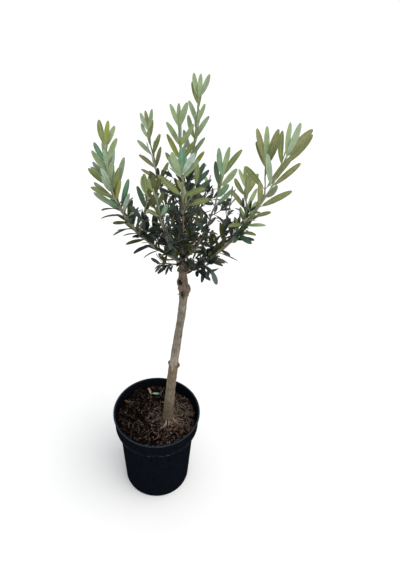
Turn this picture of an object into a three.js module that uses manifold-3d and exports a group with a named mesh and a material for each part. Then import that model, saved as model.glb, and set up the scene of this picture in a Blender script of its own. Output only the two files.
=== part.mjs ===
// A young olive tree on a clear stem, in a round black nursery pot. Millimetres, +Z up, with the origin in the
// middle of the pot's flat underside. +X is the side that the stem leans to, and -Y is the tree's front.
import * as THREE from "three";
import { mergeVertices } from "three/addons/utils/BufferGeometryUtils.js";
import Module from "manifold-3d";

const wasm = await Module();
wasm.setup();

// ---- Driving dimensions ----
const POT = {
  rimRadius: 105,
  height: 250,
  baseRadius: 81,
  wall: 2,
  lip: 3, // how thick the rolled rim is
  lipProud: 2.5, // how far the rim stands out past the collar
  lipRound: 0.8,
  collarDepth: 46,
  collarDraft: 1.2, // how much narrower the collar is at its foot than under the rim
  shoulderRadius: 90, // the wall's radius where the collar begins
  footBevel: 4,
  sides: 36,
};
const DRAIN = { count: 8, radius: 6, ring: 62, sides: 10 };
const SOIL = { top: 225.5, gap: 0.4, flatRadius: 52, edgeDrop: 3 };
const SEAT = 0.35; // clearance between pieces that touch
// The stem leans straight from its foot to its top, and bows towards +X below its head. It steps in above the graft
// and swells at its head.
const STEM = {
  foot: new THREE.Vector2(27, 4),
  top: new THREE.Vector3(51, 4, 690),
  bow: 9,
  footRadius: 12.8,
  topRadius: 8.9,
  sides: 16,
  stepHeight: 16,
};
const GRAFT = { height: 425, step: 0.8, depth: 16 };
const HEAD = { height: 640, swell: 2, spread: 24 };
const LIMB = { sides: 8, stepLength: 26, socket: 8 }; // socket: how far a limb reaches into its foliage
const MASS = { sides: 9, rings: 8 };

// Knobs on the stem: how high they sit, which side they face (in degrees, 0 is +X and 90 is +Y), how proud they
// stand, and how far they spread up and down.
const KNOBS = [
  { height: 413, facing: 175, proud: 3.2, spread: 9 },
  { height: 406, facing: -15, proud: 3, spread: 10 },
  { height: 652, facing: 205, proud: 5, spread: 9 },
  { height: 631, facing: -20, proud: 4.5, spread: 12 },
];
const KNOB_WIDTH = 55; // in degrees round the stem
// The root flare and its ridges, which fade out within a few times fade above the compost.
const FLARE = { swell: 4, proud: 2.6, ridges: 4, turn: 20, fade: 9 };

// A limb's habit: at which share of its reach and of its rise its curve bends.
const HABITS = {
  straight: [0.5, 0.5],
  upright: [0.5, 0.4],
  spreading: [0.7, 0.3],
  steep: [0.2, 0.3],
  sweeping: [1.1, 0.4],
  flat: [0.5, 1],
};
const THICKNESS = { least: 1.1, slender: 125, tip: 1 }; // a limb's foot is thicker by its length over slender

// A limb grows on another, at a share of that one's length. It heads for the side that it faces (in degrees, 0 is +X
// and 90 is +Y), and ends reach out and rise up from its foot. stout makes its foot thicker than its length gives.
function limb(parent, share, facing, reach, rise, habit, stout = 1) {
  const foot = stout * (THICKNESS.least + Math.hypot(reach, rise) / THICKNESS.slender);
  return { on: [parent, share], facing, reach, rise, bend: HABITS[habit], radii: [foot, THICKNESS.tip] };
}

const LIMBS = {
  leader: limb("trunk", 0.99, 115, 8, 190, "straight", 2.5),
  right: limb("trunk", 0.985, -15, 165, 270, "spreading", 1.25),
  left: limb("leader", 0.1, -165, 130, 245, "sweeping"),
  left_inner: limb("left", 0.35, -45, 25, 90, "upright"),
  upper_left: limb("leader", 0.35, 130, 110, 175, "spreading"),
  spire_left: limb("leader", 0.9, -125, 15, 120, "upright"),
  spire: limb("leader", 0.7, 50, 30, 195, "spreading"),
  front: limb("leader", 0.1, -90, 110, 245, "steep"),
  front_left: limb("leader", 0.2, -110, 115, 190, "spreading"),
  front_right: limb("leader", 0.15, -50, 95, 215, "spreading"),
};
// The limbs at the back stand in a fan, each longer and lower than the last.
const FAN = { facing: 65, turn: 30, reach: 105, longer: 13, rise: 100, lower: 18, share: 0.3, down: 0.04 };
["back_right", "back", "back_left"].forEach((name, i) => {
  const reach = FAN.reach + FAN.longer * i;
  const rise = FAN.rise - FAN.lower * i;
  LIMBS[name] = limb("leader", FAN.share - FAN.down * i, FAN.facing + FAN.turn * i, reach, rise, "spreading");
});
Object.assign(LIMBS, {
  right_inner: limb("right", 0.6, 95, 50, 40, "upright"),
  right_back: limb("right", 0.35, 80, 85, 60, "upright"),
  low_right: limb("right", 0.13, -50, 45, 15, "flat"),
  low_left: limb("leader", 0.05, -165, 50, 12, "flat"),
});
// The foliage on each limb: the share of the limb where it starts, its greatest radius, how far it runs past the
// limb's tip, at which share of its own length it is widest, and the share of its radius that its foot has.
const FOLIAGE = {
  right: { starts: 0.3, radius: 34, past: 54, widest: 0.78, foot: 0.45 },
  left: { starts: 0.27, radius: 29, past: 42, widest: 0.68, foot: 0.4 },
  left_inner: { starts: 0.4, radius: 17, past: 34, widest: 0.6, foot: 0.5 },
  upper_left: { starts: 0.46, radius: 21, past: 30, widest: 0.6, foot: 0.4 },
  spire_left: { starts: 0.22, radius: 19, past: 38, widest: 0.55, foot: 0.4 },
  spire: { starts: 0.4, radius: 20, past: 38, widest: 0.55, foot: 0.4 },
  front: { starts: 0.36, radius: 28, past: 44, widest: 0.6, foot: 0.4 },
  front_left: { starts: 0.4, radius: 29, past: 34, widest: 0.55, foot: 0.5 },
  front_right: { starts: 0.36, radius: 24, past: 40, widest: 0.6, foot: 0.5 },
  back_right: { starts: 0.44, radius: 27, past: 36, widest: 0.6, foot: 0.5 },
  back: { starts: 0.44, radius: 30, past: 38, widest: 0.6, foot: 0.5 },
  back_left: { starts: 0.46, radius: 27, past: 34, widest: 0.6, foot: 0.5 },
  right_inner: { starts: 0.45, radius: 20, past: 36, widest: 0.5, foot: 0.5 },
  right_back: { starts: 0.5, radius: 24, past: 34, widest: 0.55, foot: 0.5 },
  low_right: { starts: 0.42, radius: 19, past: 16, widest: 0.5, foot: 0.5 },
  low_left: { starts: 0.42, radius: 19, past: 12, widest: 0.5, foot: 0.5 },
};
// The leader's tip carries other limbs, so its own leaves are the heart of the crown and stop short of the tip.
const HEART = { starts: 0.16, radius: 42, past: -22, widest: 0.45, foot: 0.5 };

// ---- Materials ----
const material = (color, roughness) => new THREE.MeshStandardMaterial({ color, roughness, metalness: 0 });
const BLACK_PLASTIC = material(0x14161a, 0.55);
const PEAT = material(0x33241b, 0.95);
const BARK = material(0x8a7a62, 0.85);
const YOUNG_BARK = material(0xa09376, 0.8);
const LEAVES = material(0x6d7f52, 0.6);

// ---- Solids ----
// A geometry as a manifold, with the vertices of its seams and poles merged.
function solid(geometry) {
  const bare = geometry.clone();
  bare.deleteAttribute("normal");
  bare.deleteAttribute("uv");
  const merged = mergeVertices(bare, 1e-3);
  const triVerts = new Uint32Array(merged.index.array);
  const vertProperties = merged.attributes.position.array;
  return new wasm.Manifold(new wasm.Mesh({ numProp: 3, vertProperties, triVerts }));
}

// A manifold as a named mesh. Slivers that a cut leaves apart are dropped, and the largest piece is kept.
function piece(name, manifold, finish) {
  const largest = manifold.decompose().sort((a, b) => b.volume() - a.volume())[0];
  const { vertProperties, triVerts, numProp } = largest.getMesh();
  const geometry = new THREE.BufferGeometry();
  const positions = new Float32Array((vertProperties.length / numProp) * 3);
  for (let i = 0; i < positions.length / 3; i++) {
    positions.set(vertProperties.subarray(i * numProp, i * numProp + 3), i * 3);
  }
  geometry.setAttribute("position", new THREE.BufferAttribute(positions, 3));
  geometry.setIndex(new THREE.BufferAttribute(new Uint32Array(triVerts), 1));
  geometry.computeVertexNormals();
  const mesh = new THREE.Mesh(geometry, finish);
  mesh.name = name;
  return mesh;
}

// A lathe turned about +Z. The profile is a list of [radius, height], from bottom to top on the outside.
function turned(profile, sides) {
  const points = profile.map(([radius, height]) => new THREE.Vector2(radius, height));
  return new THREE.LatheGeometry(points, sides).rotateX(Math.PI / 2);
}

// ---- The pot and its soil ----
const collarFoot = POT.height - POT.collarDepth;
const collarRadius = POT.rimRadius - POT.lipProud;
const insideCollar = collarRadius - POT.wall; // the inner wall's radius under the rim, at the shoulder and at the foot
const insideShoulder = POT.shoulderRadius - POT.wall;
const insideFoot = POT.baseRadius - POT.wall;
const floorRadius = POT.baseRadius - POT.footBevel - 1;

function pot() {
  const { rimRadius, height, baseRadius, wall, lip, lipRound, collarDraft, shoulderRadius, footBevel } = POT;
  const outside = [
    [0, 0],
    [baseRadius - footBevel, 0],
    [baseRadius, footBevel],
    [shoulderRadius, collarFoot - wall],
    [collarRadius - collarDraft, collarFoot],
    [collarRadius, height - 1.5 * lip],
    [rimRadius, height - lip],
    [rimRadius, height - lipRound],
    [rimRadius - lipRound, height],
  ];
  const inside = [
    [insideCollar + lipRound, height],
    [insideCollar, height - lipRound],
    [insideCollar - collarDraft, collarFoot + wall],
    [insideShoulder, collarFoot],
    [insideFoot, footBevel + 1],
    [floorRadius, wall],
    [0, wall],
  ];
  let body = solid(turned([...outside, ...inside], POT.sides));
  const drill = new THREE.CylinderGeometry(DRAIN.radius, DRAIN.radius, 4 * wall, DRAIN.sides);
  drill.rotateX(Math.PI / 2);
  for (let i = 0; i < DRAIN.count; i++) {
    const angle = ((i + 0.5) / DRAIN.count) * 2 * Math.PI;
    const hole = drill.clone().translate(DRAIN.ring * Math.cos(angle), DRAIN.ring * Math.sin(angle), 0);
    body = body.subtract(solid(hole));
  }
  return piece("pot", body, BLACK_PLASTIC);
}

// The compost fills the pot's inside with a small gap all round, and its top slopes gently down to the wall.
function soil() {
  const { top, gap, flatRadius, edgeDrop } = SOIL;
  const collarTop = insideCollar - POT.collarDraft - gap;
  const plug = [
    [0, POT.wall + gap],
    [floorRadius - gap, POT.wall + gap],
    [insideFoot - gap, POT.footBevel + 1 + gap],
    [insideShoulder - gap, collarFoot],
    [collarTop, collarFoot + POT.wall + gap],
    [collarTop, top - edgeDrop],
    [flatRadius, top],
    [0, top],
  ];
  return piece("soil", solid(turned(plug, POT.sides)), PEAT);
}

// ---- The stem ----
const stemBottom = SOIL.top + SEAT;

// The share of the stem's height that a height is at.
function stemShare(height) {
  return THREE.MathUtils.clamp((height - stemBottom) / (STEM.top.z - stemBottom), 0, 1);
}

// How far the stem's centre lies towards +X of its foot.
function stemLean(height) {
  const share = stemShare(height);
  return (STEM.top.x - STEM.foot.x) * share + STEM.bow * Math.sin(Math.PI * share ** 3);
}

// The stem's radius, without its knobs and ridges.
function stemRadius(height) {
  const taper = THREE.MathUtils.lerp(STEM.footRadius, STEM.topRadius, stemShare(height));
  const above = THREE.MathUtils.smoothstep(height, GRAFT.height - GRAFT.depth / 2, GRAFT.height + GRAFT.depth / 2);
  const swell = HEAD.swell * Math.exp(-(((height - HEAD.height) / HEAD.spread) ** 2));
  const flare = FLARE.swell * Math.exp(-(height - stemBottom) / FLARE.fade);
  return taper - GRAFT.step * above + swell + flare;
}

// How far the knobs stand out at a height, on the side that faces one way.
function knobReach(height, facing) {
  let reach = 0;
  for (const knob of KNOBS) {
    const turn = Math.abs(THREE.MathUtils.euclideanModulo(facing - knob.facing + 180, 360) - 180);
    const near = Math.exp(-(((height - knob.height) / knob.spread) ** 2) - (turn / KNOB_WIDTH) ** 2);
    reach += knob.proud * near;
  }
  return reach;
}

// How far the ridges of the root flare stand out.
function flareReach(height, facing) {
  const fade = Math.exp(-(height - stemBottom) / FLARE.fade);
  return FLARE.proud * fade * Math.cos(THREE.MathUtils.degToRad(facing * FLARE.ridges + FLARE.turn));
}

// The stem, grown outward and upward by a clearance.
function trunk(grown = 0) {
  const top = STEM.top.z + grown;
  const steps = Math.round((top - stemBottom) / STEM.stepHeight);
  const rows = Array.from({ length: steps + 1 }, (_, i) => stemBottom + ((top - stemBottom) * i) / steps);
  const lathe = turned([[0, stemBottom], ...rows.map((height) => [1, height]), [0, top]], STEM.sides);
  const position = lathe.attributes.position;
  const point = new THREE.Vector3();
  for (let i = 0; i < position.count; i++) {
    point.fromBufferAttribute(position, i);
    const facing = THREE.MathUtils.radToDeg(Math.atan2(point.y, point.x));
    const radius = stemRadius(point.z) + knobReach(point.z, facing) + flareReach(point.z, facing) + grown;
    point.x = STEM.foot.x + stemLean(point.z) + point.x * radius;
    point.y = STEM.foot.y + point.y * radius;
    position.setXYZ(i, point.x, point.y, point.z);
  }
  return solid(lathe);
}

// ---- Limbs and foliage ----
const UP = new THREE.Vector3(0, 0, 1);
const ACROSS = new THREE.Vector3(0, 1, 0);

// The centre line of each limb, worked out once its parent's is known.
const stemFoot = new THREE.Vector3(STEM.foot.x, STEM.foot.y, stemBottom);
const lines = { trunk: new THREE.LineCurve3(stemFoot, STEM.top) };
for (const [name, { on, facing, reach, rise, bend }] of Object.entries(LIMBS)) {
  const [parent, share] = on;
  const [bendOut, bendUp] = bend;
  const turn = THREE.MathUtils.degToRad(facing);
  const outward = new THREE.Vector3(Math.cos(turn), Math.sin(turn), 0).multiplyScalar(reach);
  const start = lines[parent].getPoint(share);
  const knee = start.clone().addScaledVector(outward, bendOut).addScaledVector(UP, rise * bendUp);
  const end = start.clone().add(outward).addScaledVector(UP, rise);
  lines[name] = new THREE.QuadraticBezierCurve3(start, knee, end);
}

// Bends a lathe of unit height along a line, from one share of its length to another and some way past that.
// radiusAt(share, turn) gives its radius.
function alongLine(line, first, last, past, sides, rings, radiusAt) {
  const rows = Array.from({ length: rings + 1 }, (_, i) => [1, i / rings]);
  const lathe = turned([[0, 0], ...rows, [0, 1]], sides);
  const position = lathe.attributes.position;
  const point = new THREE.Vector3();
  const length = line.getLength() * (last - first) + past;
  for (let i = 0; i < position.count; i++) {
    point.fromBufferAttribute(position, i);
    const share = THREE.MathUtils.clamp(point.z, 0, 1);
    const travel = first + (length * share) / line.getLength();
    const within = Math.min(travel, 1);
    const along = line.getTangent(within);
    const centre = line.getPoint(within).addScaledVector(along, (travel - within) * line.getLength());
    const side = ACROSS.clone().cross(along).normalize();
    const other = along.clone().cross(side);
    const onAxis = Math.hypot(point.x, point.y) < 0.5;
    const turn = Math.atan2(point.y, point.x);
    const radius = onAxis ? 0 : radiusAt(share, turn);
    centre.addScaledVector(side, Math.cos(turn) * radius).addScaledVector(other, Math.sin(turn) * radius);
    position.setXYZ(i, centre.x, centre.y, centre.z);
  }
  return solid(lathe);
}

// A limb's tapering wood, up to where its foliage begins, grown outward by a clearance.
function wood(name, grown = 0) {
  const { radii } = LIMBS[name];
  const line = lines[name];
  const ends = FOLIAGE[name] ? FOLIAGE[name].starts + LIMB.socket / line.getLength() : 1;
  const rings = Math.max(2, Math.round((line.getLength() * ends) / LIMB.stepLength));
  const radiusAt = (share) => THREE.MathUtils.lerp(...radii, share * ends) + grown;
  return alongLine(line, 0, ends, grown, LIMB.sides, rings, radiusAt);
}

// A mass of leaves: narrow at its foot, widest part of the way up, almost pointed at its tip, and uneven all round.
function leafMass(name, { starts, radius, past, widest, foot }, grown = 0) {
  const phase = 1.7 * Object.keys(lines).indexOf(name); // so that no two are uneven in the same way
  const swell = (share) => {
    if (share < widest) return foot + (1 - foot) * Math.sin((Math.PI / 2) * (share / widest)) ** 1.5;
    return 0.12 + 0.88 * Math.sin((Math.PI / 2) * ((1 - share) / (1 - widest)));
  };
  const uneven = (share, turn) =>
    1 + 0.16 * Math.sin(3 * turn + 7 * share + phase) + 0.12 * Math.sin(2 * turn - 15 * share + 2 * phase);
  const radiusAt = (share, turn) => radius * swell(share) * uneven(share, turn) + grown;
  return alongLine(lines[name], starts, 1, past, MASS.sides, MASS.rings, radiusAt);
}

// ---- Assembly ----
const tree = new THREE.Group();
tree.add(pot(), soil());
tree.add(piece("trunk", trunk(), BARK));

// Each limb starts at the surface of what carries it, and keeps clear of the wood made before it.
let grownWood = trunk(SEAT);
for (const name of Object.keys(LIMBS)) {
  const finish = name === "leader" || name === "right" ? BARK : YOUNG_BARK;
  tree.add(piece(`bough_${name}`, wood(name).subtract(grownWood), finish));
  grownWood = grownWood.add(wood(name, SEAT));
}

// The masses are cut round the limbs and round each other.
let taken = grownWood;
const masses = [["leader", HEART], ...Object.entries(FOLIAGE)];
for (const [name, sizes] of masses) {
  const label = name === "leader" ? "foliage_heart" : `foliage_${name}`;
  tree.add(piece(label, leafMass(name, sizes).subtract(taken), LEAVES));
  taken = taken.add(leafMass(name, sizes, SEAT));
}

export default tree;
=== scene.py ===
"""A young olive tree on a clear, leaning stem, in a round black nursery pot of compost.

Metres, +Z up, with the origin in the middle of the pot's underside. +X is the side that the stem leans to,
and -Y is the tree's front. The limbs' sizes are those of the construction model. Everything rides on the
one body, root.
"""
import math
import random
from itertools import combinations

import bpy
import numpy as np
from mathutils import Matrix, Vector, noise


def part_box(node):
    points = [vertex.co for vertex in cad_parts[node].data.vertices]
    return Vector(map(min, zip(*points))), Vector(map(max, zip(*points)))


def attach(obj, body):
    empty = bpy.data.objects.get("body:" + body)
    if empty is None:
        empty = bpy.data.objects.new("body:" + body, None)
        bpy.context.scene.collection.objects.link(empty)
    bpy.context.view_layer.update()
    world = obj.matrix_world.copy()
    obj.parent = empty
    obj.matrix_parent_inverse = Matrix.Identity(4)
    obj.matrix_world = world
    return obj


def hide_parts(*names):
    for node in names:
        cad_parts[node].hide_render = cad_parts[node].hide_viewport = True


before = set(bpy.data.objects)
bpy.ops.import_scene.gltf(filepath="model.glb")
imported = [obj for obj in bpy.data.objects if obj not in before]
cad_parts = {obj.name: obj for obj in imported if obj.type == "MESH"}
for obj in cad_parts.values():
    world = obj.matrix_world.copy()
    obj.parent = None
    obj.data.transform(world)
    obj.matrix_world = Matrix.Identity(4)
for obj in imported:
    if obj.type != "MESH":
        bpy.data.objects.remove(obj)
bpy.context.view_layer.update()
UP = Vector((0, 0, 1))

# ---- Sizes, from the frame and from the construction model ----
RIM_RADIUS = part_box("pot")[1][0]
POT_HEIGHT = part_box("pot")[1][2]
SOIL_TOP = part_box("soil")[1][2]
STEM_FOOT = Vector((0.027, 0.004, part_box("trunk")[0][2]))
STEM_TOP = Vector((0.051, 0.004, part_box("trunk")[1][2]))

# The pot's outside: radii at the foot, at the shoulder under the collar, and of the collar.
BASE_RADIUS = 0.0825
SHOULDER_RADIUS = 0.0915
COLLAR_RADIUS = 0.1025
COLLAR_FOOT = POT_HEIGHT - 0.046
WALL = 0.0016
DRAIN_HOLES, DRAIN_RADIUS, DRAIN_RING = 8, 0.006, 0.062

# The stem leans straight from its foot to its top, and bows towards +X below its head. It steps in above
# the graft and swells at its head and at its foot.
STEM_BOW = 0.009
STEM_RADII = (0.0120, 0.0084)
GRAFT_HEIGHT, GRAFT_STEP, GRAFT_DEPTH = 0.425, 0.0008, 0.016
HEAD_HEIGHT, HEAD_SWELL, HEAD_SPREAD = 0.640, 0.0020, 0.024
FLARE_SWELL, FLARE_FADE = 0.0030, 0.009

# A limb's habit: at which share of its reach and of its rise its curve bends.
HABITS = {
    "straight": (0.5, 0.5), "upright": (0.5, 0.4), "spreading": (0.7, 0.3),
    "steep": (0.2, 0.3), "sweeping": (1.1, 0.4), "flat": (0.5, 1.0),
}
# A limb's foot is thicker by its length over LIMB_SLENDER.
LIMB_LEAST, LIMB_SLENDER, LIMB_TIP = 0.0011, 125, 0.0010


def limb(parent, share, facing, reach, rise, habit, stout=1.0):
    """A limb's sizes: the limb that it grows on and at which share of that, the side it faces in degrees,
    how far out and up it ends, and its habit. Its foot is thicker the longer it is, and stout makes it
    thicker still."""
    foot = stout * (LIMB_LEAST + math.hypot(reach, rise) / LIMB_SLENDER)
    return {"on": (parent, share), "facing": facing, "reach": reach, "rise": rise, "bend": HABITS[habit],
            "radii": (foot, LIMB_TIP)}


LIMBS = {
    "leader": limb("trunk", 0.99, 115, 0.008, 0.190, "straight", 2.5),
    "right": limb("trunk", 0.985, -15, 0.165, 0.270, "spreading", 1.25),
    "left": limb("leader", 0.1, -165, 0.130, 0.245, "sweeping"),
    "left_inner": limb("left", 0.35, -45, 0.025, 0.090, "upright"),
    "upper_left": limb("leader", 0.35, 130, 0.110, 0.175, "spreading"),
    "spire_left": limb("leader", 0.9, -125, 0.015, 0.120, "upright"),
    "spire": limb("leader", 0.7, 50, 0.030, 0.195, "spreading"),
    "front": limb("leader", 0.1, -90, 0.110, 0.245, "steep"),
    "front_left": limb("leader", 0.2, -110, 0.115, 0.190, "spreading"),
    "front_right": limb("leader", 0.15, -50, 0.095, 0.215, "spreading"),
}
# The limbs at the back stand in a fan, each longer and lower than the last.
FAN = {"share": 0.3, "down": 0.04, "facing": 65, "turn": 30, "reach": 0.105, "longer": 0.013, "rise": 0.100,
       "lower": 0.018}
for fan_place, fan_name in enumerate(("back_right", "back", "back_left")):
    LIMBS[fan_name] = limb(
        "leader", FAN["share"] - FAN["down"] * fan_place, FAN["facing"] + FAN["turn"] * fan_place,
        FAN["reach"] + FAN["longer"] * fan_place, FAN["rise"] - FAN["lower"] * fan_place, "spreading")
LIMBS |= {
    "right_inner": limb("right", 0.6, 95, 0.050, 0.040, "upright"),
    "right_back": limb("right", 0.35, 80, 0.085, 0.060, "upright"),
    "low_right": limb("right", 0.13, -50, 0.045, 0.015, "flat"),
    "low_left": limb("leader", 0.05, -165, 0.050, 0.012, "flat"),
}


# A side shoot's reach and rise as shares of its length, and how stout it is.
SHOOT_OUT, SHOOT_UP, SHOOT_STOUT = 0.35, 0.93, 0.9


def side_shoot(parent, share, facing, length):
    """A side shoot, which stands up steeply from its parent. The construction model leaves these out."""
    return limb(parent, share, facing, SHOOT_OUT * length, SHOOT_UP * length, "upright", SHOOT_STOUT)


SHOOTS = {
    "left_outer": side_shoot("left", 0.60, 180, 0.055),
    "left_side": side_shoot("left", 0.55, 140, 0.065),
    "front_side": side_shoot("front", 0.7, 0, 0.055),
    "right_side": side_shoot("right", 0.78, 100, 0.055),
    "head_twig": side_shoot("trunk", 0.955, -25, 0.030),
    "cross_twig": side_shoot("upper_left", 0.75, -10, 0.035),
}


def foliage(starts, ends, gap, leaf, width, open_, twigs, twig, tone, sunny):
    """What a limb carries by rule: the shares of it between which its leaves stand in pairs, the gap
    between those, how long and wide a leaf is, how far in degrees it stands off, how many side twigs there
    are and how long they grow, the tones of its sunlit leaves, and the share of the limb where these
    begin. Below that share its leaves take the dark tones of painted shade."""
    return {"starts": starts, "ends": ends, "gap": gap, "leaf": leaf, "width": width, "open": open_,
            "twigs": twigs, "twig": twig, "tone": tone, "sunny": sunny}


SUN = ("sage", "grey", "olive", "sage", "teal", "grey", "sage", "fresh", "silver_sheen", "olive")
WARM = ("olive", "khaki", "sage", "khaki", "grey")
COOL = ("grey", "sage", "blue", "olive", "pine")
SHADY = ("olive", "moss", "pine", "olive", "slate", "sage")
# Darker tones for the back limbs and a few sprays inside the crown: painted shade.
FAR_PAINTED_SHADE = ("moss", "olive", "moss", "blue")
# Dark tones of painted shade for the crown's heart and its low, inner leaves; in part older leaves are
# darker too.
PAINTED_SHADE_TONES = ("dark", "moss", "dark", "deep", "slate", "dark", "moss", "dark")
FOLIAGE = {
    "right": foliage(0.15, 0.70, 0.0105, 0.036, 0.0100, 42, 7, 0.030, SHADY, 0.50),
    "left": foliage(0.13, 0.62, 0.0085, 0.036, 0.0105, 40, 7, 0.028, SHADY, 0.36),
    "left_inner": foliage(0.20, 0.66, 0.018, 0.025, 0.0072, 32, 1, 0.016, WARM, 1.0),
    "upper_left": foliage(0.28, 0.70, 0.018, 0.026, 0.0074, 40, 4, 0.024, WARM, 1.0),
    "spire_left": foliage(0.22, 0.62, 0.018, 0.027, 0.0072, 34, 0, 0.022, SUN, 1.0),
    "spire": foliage(0.10, 0.46, 0.018, 0.027, 0.0072, 38, 1, 0.020, SUN, 1.0),
    "front": foliage(0.16, 0.84, 0.020, 0.025, 0.0070, 46, 7, 0.030, COOL, 1.0),
    "front_left": foliage(0.22, 0.86, 0.019, 0.026, 0.0074, 44, 7, 0.030, PAINTED_SHADE_TONES, 0.88),
    "front_right": foliage(0.22, 0.84, 0.019, 0.026, 0.0074, 42, 7, 0.030, COOL, 0.95),
    "back_right": foliage(0.45, 0.84, 0.020, 0.028, 0.0078, 38, 5, 0.028, FAR_PAINTED_SHADE, 0.7),
    "back": foliage(0.35, 0.80, 0.020, 0.028, 0.0078, 38, 6, 0.030, FAR_PAINTED_SHADE, 0.7),
    "back_left": foliage(0.35, 0.88, 0.020, 0.028, 0.0078, 38, 6, 0.030, FAR_PAINTED_SHADE, 0.7),
    "right_inner": foliage(0.10, 0.40, 0.018, 0.026, 0.0074, 40, 2, 0.020, SUN, 1.0),
    "right_back": foliage(0.45, 1.0, 0.026, 0.028, 0.0076, 38, 2, 0.024, FAR_PAINTED_SHADE, 0.7),
    "low_right": foliage(0.30, 0.97, 0.008, 0.030, 0.0085, 50, 0, 0.014, PAINTED_SHADE_TONES, 1.0),
    "low_left": foliage(0.05, 0.90, 0.007, 0.024, 0.0075, 52, 1, 0.012, PAINTED_SHADE_TONES, 1.0),
}
# The leader's tip carries other limbs, so its own leaves are small and stand on short twigs all round it.
HEART = {"twigs": 31, "twig": 0.044, "gap": 0.0145, "leaf": 0.0255, "width": 0.0070, "open": 44,
         "starts": 0.04, "ends": 0.97}


def spray(starts, leaf, tones):
    """The leafy end of a shoot: the share of it where that starts, how long its leaves are, and their
    tones."""
    return {"starts": starts, "leaf": leaf, "tones": tones}


SPRAYS = {
    "left": spray(0.55, 0.046, SUN),
    "left_outer": spray(0.35, 0.044, SUN),
    "left_side": spray(0.1, 0.056, SUN),
    "left_inner": spray(0.4, 0.046, SHADY),
    "upper_left": spray(0.62, 0.040, WARM),
    "spire_left": spray(0.30, 0.048, SUN),
    "spire": spray(0.36, 0.042, SUN),
    "front": spray(0.84, 0.056, SUN),
    "front_left": spray(0.80, 0.036, FAR_PAINTED_SHADE),
    "front_right": spray(0.80, 0.055, COOL),
    "front_side": spray(0.3, 0.042, SHADY),
    "right_inner": spray(0.4, 0.046, WARM),
    "right": spray(0.72, 0.066, WARM),
    "right_side": spray(0.3, 0.060, WARM),
    "head_twig": spray(0.3, 0.026, PAINTED_SHADE_TONES),
}
LIGHTWARD = Vector((0.05, -0.75, 0.65))


# ---- Shader groups ----
class Nodes:
    """Puts nodes in a tree, and joins them by plain calls."""

    def __init__(self, tree):
        self.tree = tree

    def add(self, kind, inputs=None, **settings):
        node = self.tree.nodes.new(kind)
        for name, value in settings.items():
            setattr(node, name, value)
        for name, value in (inputs or {}).items():
            self.feed(node, name, value)
        return node

    def feed(self, node, name, value):
        if isinstance(value, bpy.types.NodeSocket):
            self.tree.links.new(value, node.inputs[name])
        else:
            node.inputs[name].default_value = value

    def place(self):
        return self.add("ShaderNodeTexCoord").outputs["Object"]

    def stretched(self, vector, scale):
        return self.add("ShaderNodeMapping", {"Vector": vector, "Scale": scale}).outputs["Vector"]

    def noise(self, vector, size, detail=3.0, rough=0.55):
        inputs = {"Vector": vector, "Scale": 1 / size, "Detail": detail, "Roughness": rough}
        return self.add("ShaderNodeTexNoise", inputs).outputs["Fac"]

    def cells(self, vector, size, feature="F1"):
        inputs = {"Vector": vector, "Scale": 1 / size}
        return self.add("ShaderNodeTexVoronoi", inputs, feature=feature).outputs["Distance"]

    def ramp(self, value, low, high, to_low=0.0, to_high=1.0):
        inputs = {"Value": value, "From Min": low, "From Max": high, "To Min": to_low, "To Max": to_high}
        return self.add("ShaderNodeMapRange", inputs).outputs["Result"]

    def math(self, operation, first, second=0.0):
        return self.add("ShaderNodeMath", {0: first, 1: second}, operation=operation).outputs[0]

    def product(self, first, second):
        return self.math("MULTIPLY", first, second)

    def band(self, value, rises, falls):
        """One inside a band, and none outside. Each edge is where it begins and where it is over."""
        return self.product(self.ramp(value, *rises), self.ramp(value, *falls))

    def mix(self, factor, first, second):
        node = self.add("ShaderNodeMix", data_type="RGBA")
        for index, value in ((0, factor), (6, first), (7, second)):
            self.feed(node, index, value)
        return node.outputs[2]

    def tint(self, color, share, strength, tone):
        """Lays a tone over a colour, as far as a share of it at a strength."""
        return self.mix(self.product(share, strength), color, (*tone, 1))

    def part(self, vector, axis="Z"):
        return self.add("ShaderNodeSeparateXYZ", {0: vector}).outputs[axis]


def shader_group(name, inputs, outputs):
    """An empty group with named sockets, with its input and output nodes."""
    tree = bpy.data.node_groups.new(name, "ShaderNodeTree")
    for label, (kind, value) in inputs.items():
        socket = tree.interface.new_socket(label, in_out="INPUT", socket_type=kind)
        socket.default_value = value
    for label, kind in outputs.items():
        tree.interface.new_socket(label, in_out="OUTPUT", socket_type=kind)
    nodes = Nodes(tree)
    return nodes, nodes.add("NodeGroupInput").outputs, nodes.add("NodeGroupOutput")


FLOAT = "NodeSocketFloat"
COLOR = "NodeSocketColor"


def make_mottle():
    """Two tones that drift into each other over the surface, with a fine speckle of the darker one."""
    sockets = {
        "Light": (COLOR, (0.5, 0.5, 0.5, 1)),
        "Dark": (COLOR, (0.2, 0.2, 0.2, 1)),
        "Patch": (FLOAT, 50.0),
        "Speckle": (FLOAT, 500.0),
    }
    nodes, given, result = shader_group("Mottle", sockets, {"Color": COLOR, "Value": FLOAT})
    place = nodes.place()
    patches = nodes.noise(place, 1.0, detail=4.0)
    specks = nodes.noise(place, 1.0, detail=2.0)
    for value, scale in ((patches, given["Patch"]), (specks, given["Speckle"])):
        nodes.tree.links.new(scale, value.node.inputs["Scale"])
    mostly = nodes.ramp(patches, 0.36, 0.64, 0.0, 0.75)
    blend = nodes.math("ADD", mostly, nodes.ramp(specks, 0.5, 0.72, 0.0, 0.45))
    nodes.feed(result, "Color", nodes.mix(blend, given["Light"], given["Dark"]))
    nodes.feed(result, "Value", blend)
    return nodes.tree


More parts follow.
